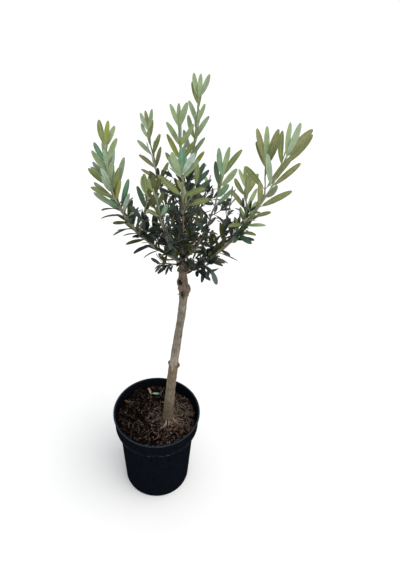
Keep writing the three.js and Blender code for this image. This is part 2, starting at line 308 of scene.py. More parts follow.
def make_bark():
    """Young bark: long shallow fissures up the stem, and short level lenticels across it."""
    sockets = {"Fissure": (FLOAT, 260.0), "Lenticel": (FLOAT, 300.0)}
    results = {"Fissures": FLOAT, "Lenticels": FLOAT, "Height": FLOAT}
    nodes, given, result = shader_group("Bark", sockets, results)
    place = nodes.place()
    fissures = nodes.noise(nodes.stretched(place, (1, 1, 0.16)), 1.0, detail=5.0, rough=0.65)
    nodes.tree.links.new(given["Fissure"], fissures.node.inputs["Scale"])
    dots = nodes.cells(nodes.stretched(place, (1, 1, 2.6)), 1.0)
    nodes.tree.links.new(given["Lenticel"], dots.node.inputs["Scale"])
    cracks = nodes.ramp(fissures, 0.42, 0.62)
    lenticels = nodes.ramp(dots, 0.24, 0.12)
    raised = nodes.product(lenticels, 0.35)
    nodes.feed(result, "Fissures", cracks)
    nodes.feed(result, "Lenticels", lenticels)
    nodes.feed(result, "Height", nodes.math("SUBTRACT", raised, nodes.product(cracks, 0.6)))
    return nodes.tree


def make_dust():
    """Dust and splashed compost: on faces that look up, and thinly everywhere in loose patches."""
    sockets = {"Size": (FLOAT, 60.0), "Thin": (FLOAT, 0.2), "Settled": (FLOAT, 0.5)}
    nodes, given, result = shader_group("Dust", sockets, {"Mask": FLOAT})
    place = nodes.place()
    patches = nodes.noise(place, 1.0, detail=6.0, rough=0.7)
    nodes.tree.links.new(given["Size"], patches.node.inputs["Scale"])
    normal = nodes.add("ShaderNodeNewGeometry").outputs["Normal"]
    upward = nodes.ramp(nodes.part(normal), 0.25, 0.95)
    thin = nodes.product(nodes.ramp(patches, 0.5, 0.75), given["Thin"])
    settled = nodes.product(nodes.product(upward, nodes.ramp(patches, 0.3, 0.6)), given["Settled"])
    nodes.feed(result, "Mask", nodes.math("ADD", thin, settled))
    return nodes.tree


MOTTLE = make_mottle()
BARK = make_bark()
DUST = make_dust()


# ---- Materials ----
def finish(name, **constants):
    """A material with its nodes, its shader, and the shader's constants set on their own sockets."""
    material = bpy.data.materials.new(name)
    material.use_nodes = True
    nodes = Nodes(material.node_tree)
    shader = material.node_tree.nodes["Principled BSDF"]
    for label, value in constants.items():
        shader.inputs[label.replace("_", " ")].default_value = value
    return material, nodes, shader


def use(nodes, group, **values):
    node = nodes.add("ShaderNodeGroup", node_tree=group)
    for name, value in values.items():
        nodes.feed(node, name, value)
    return node.outputs


def relief(nodes, shader, height, strength, distance):
    inputs = {"Height": height, "Strength": strength, "Distance": distance}
    nodes.feed(shader, "Normal", nodes.add("ShaderNodeBump", inputs).outputs["Normal"])


def mottled(nodes, light, dark, patch, speckle):
    """Two tones that drift into each other. patch and speckle are how many of them go to a metre."""
    return use(nodes, MOTTLE, Light=(*light, 1), Dark=(*dark, 1), Patch=patch, Speckle=speckle)


def pot_plastic():
    """Black plastic, dusty, scuffed along the collar's foot, with a painted blue-grey highlight along the
    rim.
    """
    material, nodes, shader = finish("black_nursery_plastic", Specular_IOR_Level=0.0)
    place = nodes.place()
    mottle = mottled(nodes, (0.0064, 0.0082, 0.0124), (0.0013, 0.0015, 0.0021), 260.0, 380.0)
    dust = use(nodes, DUST, Size=70.0, Thin=0.01, Settled=0.04)["Mask"]
    height = nodes.part(place)
    streaks = nodes.ramp(nodes.noise(nodes.stretched(place, (1, 1, 7)), 0.014, detail=5.0), 0.53, 0.68)
    above = nodes.math("SUBTRACT", height, COLLAR_FOOT)
    ledge = nodes.band(above, (-0.006, -0.001), (0.011, 0.003))
    # A blue-grey painted highlight along the rolled rim, broken up by noise.
    rim = nodes.ramp(height, POT_HEIGHT - 0.0016, POT_HEIGHT - 0.0002, 0.0, 0.75)
    painted_rim_highlight = nodes.product(rim, nodes.ramp(nodes.noise(place, 0.02), 0.3, 0.6, 0.6, 1.0))
    color = nodes.mix(dust, mottle["Color"], (0.060, 0.060, 0.060, 1))
    color = nodes.tint(color, nodes.product(ledge, streaks), 0.9, (0.085, 0.092, 0.105))
    nodes.feed(shader, "Base Color", nodes.mix(painted_rim_highlight, color, (0.030, 0.042, 0.056, 1)))
    dull = nodes.math("ADD", mottle["Value"], dust)
    nodes.feed(shader, "Roughness", nodes.ramp(dull, 0.0, 1.2, 0.46, 0.75))
    relief(nodes, shader, nodes.noise(place, 0.0011, detail=3.0), 0.20, 0.0003)
    return material


def stem_bark():
    """Grey-brown bark. It is warm and rusty at the graft and round the old cuts of the head, and paler just
    above the graft."""
    material, nodes, shader = finish("stem_bark", Specular_IOR_Level=0.25)
    place = nodes.place()
    mottle = mottled(nodes, (0.285, 0.250, 0.195), (0.130, 0.108, 0.080), 85.0, 330.0)
    bark = use(nodes, BARK, Fissure=420.0, Lenticel=230.0)
    waver = nodes.ramp(nodes.noise(place, 0.012), 0.3, 0.7, -0.012, 0.012)
    wavering = nodes.math("ADD", nodes.part(place), waver)
    # The tones of the graft and the head reach lower on the stem's sides than in its middle.
    middle = STEM_FOOT.x + 0.0100
    sideways = nodes.math("ABSOLUTE", nodes.math("SUBTRACT", nodes.part(place, "X"), middle))
    wavering = nodes.math("ADD", wavering, nodes.ramp(sideways, 0.0, 0.0080, 0.013, -0.006))
    lower = nodes.ramp(wavering, 0.422, 0.409)
    graft = nodes.band(wavering, (0.345, 0.405), (0.426, 0.416))
    pale = nodes.band(wavering, (0.416, 0.426), (0.472, 0.435))
    rusty = nodes.band(wavering, (0.592, 0.604), (0.622, 0.612))
    head = nodes.band(wavering, (0.606, 0.636), (0.960, 0.840))
    foot = nodes.ramp(wavering, 0.285, 0.235)
    blotches = nodes.product(head, nodes.ramp(nodes.noise(place, 0.007, detail=4.0), 0.50, 0.62))
    color = mottle["Color"]
    for share, strength, tone in (
            (lower, 0.55, (0.175, 0.130, 0.070)), (graft, 0.45, (0.235, 0.125, 0.050)),
            (pale, 0.62, (0.420, 0.345, 0.280)), (rusty, 0.35, (0.270, 0.145, 0.070)),
            (head, 0.62, (0.185, 0.115, 0.080)), (blotches, 0.70, (0.060, 0.036, 0.024)),
            (foot, 0.45, (0.150, 0.100, 0.068)), (bark["Fissures"], 0.62, (0.070, 0.054, 0.037)),
            (bark["Lenticels"], 0.30, (0.340, 0.285, 0.220))):
        color = nodes.tint(color, share, strength, tone)
    nodes.feed(shader, "Base Color", color)
    nodes.feed(shader, "Roughness", nodes.ramp(bark["Fissures"], 0.0, 1.0, 0.72, 0.92))
    relief(nodes, shader, bark["Height"], 0.8, 0.0010)
    return material


def young_bark(name, light, dark, green=0.75):
    """The smooth bark of boughs and twigs. High up on the tree it is still green."""
    material, nodes, shader = finish(name, Specular_IOR_Level=0.3)
    mottle = mottled(nodes, light, dark, 120.0, 700.0)
    bark = use(nodes, BARK, Fissure=700.0, Lenticel=520.0)
    color = nodes.tint(mottle["Color"], bark["Fissures"], 0.3, dark)
    fresh = nodes.ramp(nodes.part(nodes.place()), 0.82, 0.92, 0.0, green)
    nodes.feed(shader, "Base Color", nodes.mix(fresh, color, (0.290, 0.345, 0.215, 1)))
    nodes.feed(shader, "Roughness", nodes.ramp(mottle["Value"], 0.0, 1.0, 0.58, 0.80))
    relief(nodes, shader, bark["Height"], 0.4, 0.0004)
    return material


def mottled_finish(name, light, dark, scales, specular, roughness, grain, bump):
    """A finish of two tones. Its scales are mottled()'s patch and speckle, its roughness goes from the
    light tone to the dark, its grain has a size and a detail, and its bump a strength and a depth."""
    material, nodes, shader = finish(name, Specular_IOR_Level=specular)
    mottle = mottled(nodes, light, dark, *scales)
    nodes.feed(shader, "Base Color", mottle["Color"])
    nodes.feed(shader, "Roughness", nodes.ramp(mottle["Value"], 0.0, 1.0, *roughness))
    relief(nodes, shader, nodes.noise(nodes.place(), *grain), *bump)
    return material


def old_cut():
    """The dark, cracked wood inside an old pruning cut."""
    return mottled_finish("old_cut", (0.058, 0.036, 0.024), (0.016, 0.010, 0.007), (300.0, 900.0), 0.15,
                          roughness=(0.80, 0.95), grain=(0.0015, 4.0), bump=(0.6, 0.0008))


def leaf_finish(name, light, dark, rough=0.50, specular=0.22):
    """A leathery leaf: a plain tone with a faint drift in it, a soft gloss and a fine pebbled grain."""
    return mottled_finish(name, light, dark, (95.0, 1500.0), specular, roughness=(rough, rough + 0.14),
                          grain=(0.0009, 2.0), bump=(0.18, 0.0003))


def compost(name, light, dark, rough=0.92, grain=0.0012):
    """Damp crumbly matter."""
    return mottled_finish(name, light, dark, (160.0, 1100.0), 0.04, roughness=(rough - 0.12, rough),
                          grain=(grain, 5.0), bump=(0.7, 0.0010))


def shades(red, green, blue, spread=0.72):
    """A tone and its darker side."""
    return (red, green, blue), (red * spread, green * spread, blue * spread * 0.92)


# The silver and the blue tones stand partly for a painted sheen of the sky on the leaves, partly for their
# own grey-green.
LEAF_TONES = {
    "sage": shades(0.335, 0.430, 0.235),
    "fresh": shades(0.345, 0.380, 0.080),
    "olive": shades(0.215, 0.255, 0.095),
    "khaki": shades(0.285, 0.290, 0.130),
    "silver_sheen": shades(0.440, 0.560, 0.490),
    "grey": shades(0.355, 0.450, 0.310),
    "blue": shades(0.200, 0.330, 0.200),
    "teal": shades(0.120, 0.280, 0.175),
    "pine": shades(0.078, 0.130, 0.080),
    "moss": shades(0.100, 0.112, 0.036),
    "slate": shades(0.072, 0.106, 0.092),
    "dark": shades(0.019, 0.028, 0.022),
    "deep": shades(0.020, 0.052, 0.038),
}
GLOSSY = ("dark", "deep", "slate")
LEAVES = {
    tone: leaf_finish(f"leaf_{tone}", *colors, rough=0.40, specular=0.45) if tone in GLOSSY
    else leaf_finish(f"leaf_{tone}", *colors)
    for tone, colors in LEAF_TONES.items()
}
LEAF_RIB = leaf_finish("leaf_rib", *shades(0.335, 0.395, 0.200), rough=0.55)
LEAF_BACK = leaf_finish("leaf_silvery_back", *shades(0.290, 0.350, 0.225), rough=0.68, specular=0.12)
# The darker back of the shaded tones' leaves is painted shade.
LEAF_DARK_BACK = leaf_finish("leaf_shaded_back", *shades(0.085, 0.104, 0.078), rough=0.70, specular=0.12)
STEM_BARK = stem_bark()
KNOB_BARK = young_bark("knob_bark", (0.090, 0.066, 0.048), (0.030, 0.021, 0.015))
OLD_CUT = old_cut()
PALE_BOUGH = young_bark("pale_bough_bark", (0.370, 0.330, 0.235), (0.210, 0.175, 0.115))
BROWN_BOUGH = young_bark("brown_bough_bark", (0.190, 0.150, 0.112), (0.085, 0.062, 0.044))
TAN_BOUGH = young_bark("tan_bough_bark", (0.320, 0.235, 0.175), (0.120, 0.078, 0.055), green=0.0)
TWIG_BARK = young_bark("twig_bark", (0.300, 0.320, 0.200), (0.150, 0.130, 0.080))
OLD_TWIG_BARK = young_bark("old_twig_bark", (0.130, 0.090, 0.060), (0.060, 0.042, 0.028))
POT_PLASTIC = pot_plastic()
PEAT = compost("peat", (0.0026, 0.0020, 0.0015), (0.0006, 0.0005, 0.0004))
CRUMB_DARK = compost("dark_crumbs", (0.0052, 0.0036, 0.0026), (0.0013, 0.0011, 0.0009))
CRUMB_BROWN = compost("brown_crumbs", (0.044, 0.026, 0.018), (0.009, 0.0055, 0.004))
CHIP_BARK = compost("bark_chips", (0.180, 0.085, 0.048), (0.070, 0.032, 0.020), grain=0.0022)
CHIP_PALE = compost("pale_chips", (0.440, 0.320, 0.245), (0.240, 0.155, 0.115), grain=0.0022)
SHRED_GREY = compost("grey_shreds", (0.135, 0.100, 0.080), (0.026, 0.019, 0.015))
ROOTLET = compost("fine_roots", (0.300, 0.225, 0.170), (0.085, 0.062, 0.045), rough=0.85)
ROOT_PALE = compost("pale_roots", (0.520, 0.410, 0.320), (0.270, 0.200, 0.150), rough=0.85)
GRIT = compost("pale_grit", (0.330, 0.320, 0.290), (0.180, 0.170, 0.150))


# ---- Modelling by hand ----
def nothing_selected():
    bpy.ops.object.select_all(action="DESELECT")


def added(name, data):
    """A new object in the scene."""
    item = bpy.data.objects.new(name, data)
    bpy.context.collection.objects.link(item)
    return item


def named(name, *materials):
    """Names the piece that was just made, and gives it its materials."""
    piece = bpy.context.active_object
    piece.name = name
    piece.data.name = name
    piece.data.materials.clear()
    for material in materials:
        piece.data.materials.append(material)
    return piece


def only(piece):
    nothing_selected()
    piece.select_set(True)
    bpy.context.view_layer.objects.active = piece


def settle(piece):
    """Puts the piece's place and turn into its mesh, so that its object sits at the origin."""
    only(piece)
    bpy.ops.object.transform_apply(location=True, rotation=True, scale=True)
    return piece


def modify(piece, kind, **settings):
    """Adds a modifier and applies it."""
    only(piece)
    modifier = piece.modifiers.new(kind.title(), kind)
    for name, value in settings.items():
        setattr(modifier, name, value)
    bpy.ops.object.modifier_apply(modifier=modifier.name)


def joined(name, pieces, *materials):
    only(pieces[0])
    for piece in pieces:
        piece.select_set(True)
    bpy.ops.object.join()
    piece = named(name, *materials)
    return settle(piece)


def smooth(piece, degrees=35):
    only(piece)
    bpy.ops.object.shade_smooth_by_angle(angle=math.radians(degrees))


def turn_faces_out(merge=0.0):
    """Turns the active piece's faces outward, once corners nearer than merge are made one."""
    bpy.ops.object.mode_set(mode="EDIT")
    bpy.ops.mesh.select_all(action="SELECT")
    if merge:
        bpy.ops.mesh.remove_doubles(threshold=merge)
    bpy.ops.mesh.normals_make_consistent(inside=False)
    bpy.ops.object.mode_set(mode="OBJECT")


def drawn_up(profile, sides):
    """A round shape drawn up from a disc: each next (x, y, z, radius) is one extrusion of its top ring."""
    nothing_selected()
    x, y, z, radius = profile[0]
    bpy.ops.mesh.primitive_circle_add(vertices=sides, radius=radius, fill_type="NGON", location=(x, y, z))
    bpy.ops.object.mode_set(mode="EDIT")
    bpy.ops.mesh.select_all(action="SELECT")
    for before, after in zip(profile, profile[1:]):
        shift = [after[i] - before[i] for i in range(3)]
        bpy.ops.mesh.extrude_region_move(TRANSFORM_OT_translate={"value": shift})
        share = after[3] / before[3]
        bpy.ops.transform.resize(value=(share, share, 1), center_override=after[:3])
    turn_faces_out()
    return bpy.context.active_object


def ball(place, radii, turn=(0, 0, 0)):
    nothing_selected()
    bpy.ops.mesh.primitive_uv_sphere_add(
        segments=24, ring_count=14, radius=1, location=place, rotation=turn)
    bpy.context.active_object.scale = radii
    return settle(bpy.context.active_object)


def rod(points, radii, sides=10):
    """A closed round rod along points, with a radius at each."""
    curve = bpy.data.curves.new("rod", "CURVE")
    curve.dimensions = "3D"
    curve.bevel_depth = 1.0
    curve.bevel_resolution = max(0, sides // 2 - 2)
    curve.use_fill_caps = True
    spline = curve.splines.new("POLY")
    spline.points.add(len(points) - 1)
    for point, place, radius in zip(spline.points, points, radii):
        point.co = (*place, 1)
        point.radius = radius
    only(added("rod", curve))
    bpy.ops.object.convert(target="MESH")
    turn_faces_out(merge=1e-6)
    return bpy.context.active_object


def roughened(piece, kind, size, depth, stretch=1.0, **settings):
    """Displaces a piece along its normals by a solid texture, drawn out by stretch along Z."""
    texture = bpy.data.textures.new("relief", kind)
    texture.noise_scale = size
    for name, value in settings.items():
        setattr(texture, name, value)
    holder = added("relief", None)
    holder.scale = (1, 1, stretch)
    bpy.context.view_layer.update()
    modify(piece, "DISPLACE", texture=texture, strength=depth, mid_level=0.5, texture_coords="OBJECT",
           texture_coords_object=holder)
    bpy.data.objects.remove(holder)


# ---- Small things, joined from arrays ----
class Heap:
    """Gathers the vertices, faces and finishes of many small closed shapes, and makes them one piece."""

    def __init__(self, name, materials):
        self.name = name
        self.materials = list(materials)
        self.points = []
        self.faces = []
        self.finishes = []
        self.count = 0

    def add(self, points, faces, finishes):
        self.points.append(np.asarray(points, dtype=np.float32))
        self.faces.extend([[index + self.count for index in face] for face in faces])
        self.finishes.extend(finishes)
        self.count += len(points)

    def make(self, degrees=40):
        mesh = bpy.data.meshes.new(self.name)
        mesh.from_pydata(np.concatenate(self.points), [], self.faces)
        for material in self.materials:
            mesh.materials.append(material)
        mesh.polygons.foreach_set("material_index", self.finishes)
        mesh.update()
        piece = added(self.name, mesh)
        smooth(piece, degrees)
        return piece


def across(direction, towards=UP):
    """A unit vector square to direction, as near as can be to towards."""
    square = towards - direction * towards.dot(direction)
    if square.length < 0.05:
        square = Vector((1, 0, 0)) - direction * direction.x
    return square.normalized()


def square_to(axis, turn):
    """A unit vector square to an axis, turned some way round it."""
    one = across(axis, Vector((0.2, -1, 0.1)))
    return one * math.cos(turn) + axis.cross(one) * math.sin(turn)


def level(turn):
    """A level unit vector. Turned by nothing it points towards +X."""
    return Vector((math.cos(turn), math.sin(turn), 0))


def rolled(face, along, roll):
    """A leaf's upper side, rolled about the way that the leaf grows."""
    return face * math.cos(roll) + along.cross(face) * math.sin(roll)


def add_twig(heap, points, radii, finish_index, sides=5):
    """A closed twig along points. It ends in a blunt bud."""
    rings = []
    for i, point in enumerate(points):
        ahead = points[min(i + 1, len(points) - 1)] - points[max(i - 1, 0)]
        along = ahead.normalized()
        one = across(along, Vector((0.3, -1, 0.2)))
        other = along.cross(one)
        for k in range(sides):
            turn = 2 * math.pi * k / sides
            rings.append(point + (one * math.cos(turn) + other * math.sin(turn)) * radii[i])
    faces = [list(range(sides))[::-1]]
    for i in range(len(points) - 1):
        low = i * sides
        for k in range(sides):
            after = (k + 1) % sides
            faces.append([low + k, low + after, low + sides + after, low + sides + k])
    last = (len(points) - 1) * sides
    faces.append([last + k for k in range(sides)])
    heap.add([tuple(point) for point in rings], faces, [finish_index] * len(faces))


# The blade's rings: the share of its length where each lies. The first is the petiole's, and a point closes
# the tip.
BLADE = np.array((-0.10, 0.0, 0.08, 0.22, 0.40, 0.59, 0.77, 0.90, 0.97))
LEAF_SPAN = 1 - BLADE[0]
BROADEST = 0.55
BLUNT = 0.46  # less than one makes the blade's ends blunter
PETIOLE = 0.0007
RIB = 0.00042
THICK = 0.00045


def blade_width(share):
    bulge = math.log(0.5) / math.log(BROADEST)
    return np.sin(np.pi * np.clip(share, 0, 1) ** bulge) ** BLUNT


def add_leaf(heap, foot, along, face, length, width, curl, fold, finishes, twist=0.0, bow=(0, 0, 0)):
    """One leaf, a thin closed lens with a raised rib below and a groove above. along is the way it grows,
    and face the way its upper side looks. curl bends it over its length and fold along its rib, in radians.
    bow is how far its middle stands off the line from foot to tip."""
    shares = np.append(BLADE, 1.0)
    bends = curl * np.clip(shares, 0, 1) ** 1.4
    steps = np.diff(shares, prepend=shares[0]) * length
    along, face = np.array(along), np.array(face)
    middle = (bends + np.concatenate(([bends[0]], bends[:-1]))) / 2
    heads = np.cos(middle)[:, None] * along - np.sin(middle)[:, None] * face
    travel = np.cumsum(steps[:, None] * heads, axis=0)
    swell = np.sin(np.pi * (shares - shares[0]) / LEAF_SPAN)
    centres = np.array(foot) + travel + swell[:, None] * np.array(bow)
    normals = np.cos(bends)[:, None] * face + np.sin(bends)[:, None] * along
    side = np.cross(along, face)
    turns = twist * np.clip(shares, 0, 1)
    sides = np.cos(turns)[:, None] * side + np.sin(turns)[:, None] * normals
    normals = np.cos(turns)[:, None] * normals - np.sin(turns)[:, None] * side
    half = np.maximum(blade_width(shares) * width / 2, PETIOLE)
    points = []
    for i in range(len(BLADE)):
        rise = math.sin(fold) * (half[i] if i > 1 else 0.0)
        spread = sides[i] * half[i]
        lift = normals[i]
        rib = sides[i] * min(RIB, half[i] * 0.5)
        keel = THICK * (1.5 if i < 2 else 1.0)
        points += [centres[i] - spread + lift * rise, centres[i] - rib, centres[i] + rib,
                   centres[i] + spread + lift * rise, centres[i] - lift * keel]
    points.append(centres[-1])
    tone, rib_tone, back = finishes
    faces, marks = [[0, 4, 3, 2, 1]], [back]
    tip = 5 * len(BLADE)
    for low in range(0, tip, 5):
        high = low + 5
        for a, b, mark in ((0, 1, tone), (1, 2, rib_tone), (2, 3, tone), (3, 4, back), (4, 0, back)):
            faces.append([low + a, low + b, tip] if high == tip else [low + a, low + b, high + b, high + a])
            marks.append(mark)
    heap.add(points, faces, marks)


# ---- Limbs ----
class Line:
    """A limb's centre line: a curve from its foot, past its bend, to its tip. Past the tip it runs on
    straight."""

    def __init__(self, foot, bend, tip):
        self.foot, self.bend, self.tip = foot, bend, tip
        marks = [self.at(i / 24) for i in range(25)]
        self.length = sum((b - a).length for a, b in zip(marks, marks[1:]))

    def at(self, share):
        if share > 1:
            return self.tip + (self.tip - self.bend) * 2 * (share - 1)
        return (self.foot * (1 - share) + self.bend * share) * (1 - share) + (
            self.bend * (1 - share) + self.tip * share) * share

    def along(self, share):
        share = min(max(share, 0), 1)
        return ((self.bend - self.foot) * (1 - share) + (self.tip - self.bend) * share).normalized()


def limb_lines():
    top = STEM_TOP + Vector((0.002, 0, -0.003))
    lines = {"trunk": Line(STEM_FOOT, (STEM_FOOT + top) / 2, top)}
    for name, sizes in (LIMBS | SHOOTS).items():
        parent, share = sizes["on"]
        out = level(math.radians(sizes["facing"])) * sizes["reach"]
        rise = UP * sizes["rise"]
        foot = lines[parent].at(share)
        bend = foot + out * sizes["bend"][0] + rise * sizes["bend"][1]
        lines[name] = Line(foot, bend, foot + out + rise)
    return lines


LINES = limb_lines()


# A limb's kinks: the size of their noise, how far they reach, the size of the finer ones on the crooked
# limbs, and the seed that keeps them the same each time. Its flare into its parent, and the swelling at
# each pair of leaves.
KINK_NOISE, KINK, KINK_FINE, KINK_SEED = 42, 0.0018, 130, 1
CROOKED = ("leader", "front")
LIMB_FLARE, LIMB_FLARE_FADE = 0.75, 0.006
NODE_SWELL, NODE_GAP = 0.10, 0.018
noise.seed_set(KINK_SEED)


def limb_points(name, steps, ends=1.0):
    """Points along a limb with its slight kinks, and radii that flare into its parent and swell at the
    nodes."""
    line = LINES[name]
    foot_radius, tip_radius = (LIMBS | SHOOTS)[name]["radii"]
    points, radii = [], []
    for i in range(steps + 1):
        share = ends * i / steps
        place = line.at(share)
        grown = min(1, 6 * share)
        shake = noise.noise_vector(place * KINK_NOISE) * KINK * grown
        if name in CROOKED:
            shake = shake * 2 + noise.noise_vector(place * KINK_FINE) * KINK * grown
        travelled = share * line.length
        flare = 1 + LIMB_FLARE * math.exp(-travelled / LIMB_FLARE_FADE)
        node = 1 + NODE_SWELL * max(0, math.cos(travelled / NODE_GAP * 2 * math.pi)) ** 6
        points.append(place + shake)
        radii.append((foot_radius + (tip_radius - foot_radius) * share) * flare * node)
    return points, radii


# ---- The stem and the boughs ----
def stem_at(height):
    """The stem's centre and radius at a height."""
    share = min(max((height - STEM_FOOT.z) / (STEM_TOP.z - STEM_FOOT.z), 0), 1)
    lean = (STEM_TOP.x - STEM_FOOT.x) * share + STEM_BOW * math.sin(math.pi * share ** 3)
    taper = STEM_RADII[0] + (STEM_RADII[1] - STEM_RADII[0]) * share
    step = GRAFT_STEP * min(max((height - GRAFT_HEIGHT) / GRAFT_DEPTH + 0.5, 0), 1)
    swell = HEAD_SWELL * math.exp(-((height - HEAD_HEIGHT) / HEAD_SPREAD) ** 2)
    flare = FLARE_SWELL * math.exp(-max(height - STEM_FOOT.z, 0) / FLARE_FADE)
    return Vector((STEM_FOOT.x + lean, STEM_FOOT.y, height)), taper - step + swell + flare


def on_stem(height, facing, proud=0.0):
    """A place on the stem's surface, on the side that faces a way in degrees."""
    centre, radius = stem_at(height)
    return centre + level(math.radians(facing)) * (radius + proud)


# The knobs of the stem: (height, facing, radii out of the stem, round it and up it). Those of the graft
# come first.
KNOBS = (
    (0.418, 176, (0.0072, 0.0062, 0.0072)), (0.4135, -12, (0.0080, 0.0064, 0.0076)),
    (0.419, -95, (0.0040, 0.0052, 0.0050)), (0.418, 80, (0.0048, 0.0064, 0.0062)),
    (0.655, 218, (0.0088, 0.0090, 0.0115)), (0.639, 208, (0.0066, 0.0066, 0.0060)),
    (0.638, -22, (0.0092, 0.0096, 0.0130)), (0.624, -15, (0.0062, 0.0080, 0.0090)),
    (0.655, -75, (0.0048, 0.0060, 0.0085)), (0.640, 110, (0.0075, 0.0085, 0.0120)),
    (0.675, 165, (0.0044, 0.0055, 0.0065)), (0.612, 150, (0.0036, 0.0050, 0.0070)),
    (0.676, -30, (0.0050, 0.0050, 0.0090)), (0.560, 20, (0.0034, 0.0050, 0.0070)),
    (0.500, 200, (0.0030, 0.0045, 0.0060)), (0.350, -60, (0.0040, 0.0056, 0.0080)),
    (0.300, 170, (0.0040, 0.0060, 0.0090)),
)
DARK_KNOBS = KNOBS[:2]
KNOB_SUNK = 0.004  # how far a knob's middle lies under the bark
STEM_RINGS, STEM_SIDES = 60, 40
STEM_RIPPLE, RIPPLE_TURNS = 0.02, 260
SOCKET_STEPS = 12  # of the stem's own skin along the foot of each limb that forks off it
# The old pruning cut: where it is, the hollow's radii, and its lip's ring.
CUT_HEIGHT = 0.6605
CUT_FACING = 244
CUT_HOLLOW = (0.0062, 0.0037, 0.0072)
CUT_FLOOR = (0.0054, 0.0056, 0.0072)  # the radii within which the wood shows
LIP_RADIUS, LIP_THICK, LIP_SHAPE = 0.0054, 0.0022, (1.35, 0.85, 1.0)
FIRST_ROOTS = 9


def first_root(k):
    """A root that runs down the foot of the stem and dips into the compost."""
    facing = 40 * k + 11 * (k % 3)
    out = level(math.radians(facing))
    start = on_stem(STEM_FOOT.z + 0.020, facing, -0.0055)
    middle = on_stem(STEM_FOOT.z + 0.007, facing + 8, -0.0030)
    end = on_stem(STEM_FOOT.z - 0.0020, facing + 12, -0.0030) + out * 0.0024 * (k % 3)
    return rod([start, middle, end], [0.0042, 0.0034, 0.0018], sides=10)


def cut_lip():
    """The swollen ring of bark round the old cut."""
    nothing_selected()
    turn = (0, math.pi / 2, math.radians(CUT_FACING))
    bpy.ops.mesh.primitive_torus_add(
        location=on_stem(CUT_HEIGHT, CUT_FACING, LIP_THICK), rotation=turn, major_radius=LIP_RADIUS,
        minor_radius=LIP_THICK, major_segments=28, minor_segments=12)
    bpy.context.active_object.scale = LIP_SHAPE
    return settle(bpy.context.active_object)


def stem():
    """The stem with its graft, the knobs and the old cut of its head, the leader and its first roots, in
    one skin."""
    rings = [(STEM_FOOT.x, STEM_FOOT.y, STEM_FOOT.z, stem_at(STEM_FOOT.z)[1])]
    for i in range(1, STEM_RINGS + 1):
        height = STEM_FOOT.z + (STEM_TOP.z - STEM_FOOT.z) * i / STEM_RINGS
        centre, radius = stem_at(height)
        ripple = 1 + STEM_RIPPLE * math.sin(height * RIPPLE_TURNS)
        rings.append((centre.x, centre.y, height, radius * ripple))
    parts = [drawn_up(rings, STEM_SIDES), rod(*limb_points("leader", 40), sides=14)]
    for name in ("right", "left", "front"):
        points, radii = limb_points(name, SOCKET_STEPS, 0.10)
        swollen = [radius * (1.35 - 0.5 * i / SOCKET_STEPS) for i, radius in enumerate(radii)]
        parts.append(rod(points, swollen, sides=14))
    for height, facing, radii in KNOBS:
        parts.append(ball(on_stem(height, facing, -KNOB_SUNK), radii, (0, 0, math.radians(facing))))
    parts += [first_root(k) for k in range(FIRST_ROOTS)]
    parts.append(cut_lip())
    skin = joined("stem", parts, STEM_BARK, OLD_CUT, KNOB_BARK)
    hollow = ball(on_stem(CUT_HEIGHT, CUT_FACING, 0.0030), CUT_HOLLOW, (0, 0, math.radians(CUT_FACING)))
    modify(skin, "REMESH", mode="VOXEL", voxel_size=0.0011)
    modify(skin, "BOOLEAN", operation="DIFFERENCE", object=hollow, solver="EXACT")
    bpy.data.objects.remove(hollow)
    modify(skin, "REMESH", mode="VOXEL", voxel_size=0.0010)
    modify(skin, "SMOOTH", factor=0.5, iterations=3)
    roughened(skin, "CLOUDS", 0.018, 0.0020, stretch=1.6)
    roughened(skin, "CLOUDS", 0.0042, 0.0011, stretch=5.0, noise_depth=3)
    roughened(skin, "VORONOI", 0.0070, 0.0006, stretch=0.8)
    modify(skin, "REMESH", mode="VOXEL", voxel_size=0.00095)
    modify(skin, "SMOOTH", factor=0.4, iterations=1)
    cut = on_stem(CUT_HEIGHT, CUT_FACING, 0.0015)
    dark_places = [on_stem(height, facing, 0.0030) for height, facing, _ in DARK_KNOBS]
    for face in skin.data.polygons:
        offset = face.center - cut
        if Vector([way / size for way, size in zip(offset, CUT_FLOOR)]).length < 1:
            face.material_index = 1
        if any((face.center - place).length < 0.0078 for place in dark_places):
            face.material_index = 2
    smooth(skin, 60)
    return skin


PALE_BOUGHS = ("right", "left", "left_inner", "right_inner", "right_side", "left_outer", "left_side")
TAN_BOUGHS = ("front",)
BOUGH_STEP = 0.004


def bough_kind(name):
    if name in PALE_BOUGHS:
        return "pale"
    return "tan" if name in TAN_BOUGHS else "brown"


def boughs(name, limbs, bark):
    """Boughs from inside what carries them to their leafy ends."""
    parts = []
    for limb_name in limbs:
        points, radii = limb_points(limb_name, max(12, round(LINES[limb_name].length / BOUGH_STEP)))
        parts.append(rod(points, radii, sides=12))
    piece = joined(name, parts, bark)
    roughened(piece, "CLOUDS", 0.006, 0.0007, stretch=1.5, noise_depth=2)
    roughened(piece, "CLOUDS", 0.0022, 0.00035, noise_depth=2)
    smooth(piece, 60)
    return piece


# ---- Twigs and leaves, by a seeded rule ----
TONE_NAMES = list(LEAVES)
LEAF_FINISHES = [*LEAVES.values(), LEAF_RIB, LEAF_BACK, LEAF_DARK_BACK]
RIB_INDEX = len(TONE_NAMES)
BACK_INDEX = RIB_INDEX + 1
DARK_BACK_INDEX = RIB_INDEX + 2
# Tones that stand partly for painted shade. Their leaves get the darker back and no paler rib.
SHADED = ("dark", "deep", "moss", "slate", "pine")
ROLL_MOST = 0.4  # how far a leaf may roll about its rib, in radians
GOLDEN_TURN = 2.4  # in radians, from one twig to the next round a limb
LEAF_MISSING, SPRAY_LEAF_MISSING = 0.08, 0.05


def leaf_marks(tone):
    """A leaf's finishes by its tone: upper side, rib and back. A shaded tone's darker back is painted
    shade.
    """
    index = TONE_NAMES.index(tone)
    if tone in SHADED:
        return index, index, DARK_BACK_INDEX
    return index, RIB_INDEX, BACK_INDEX


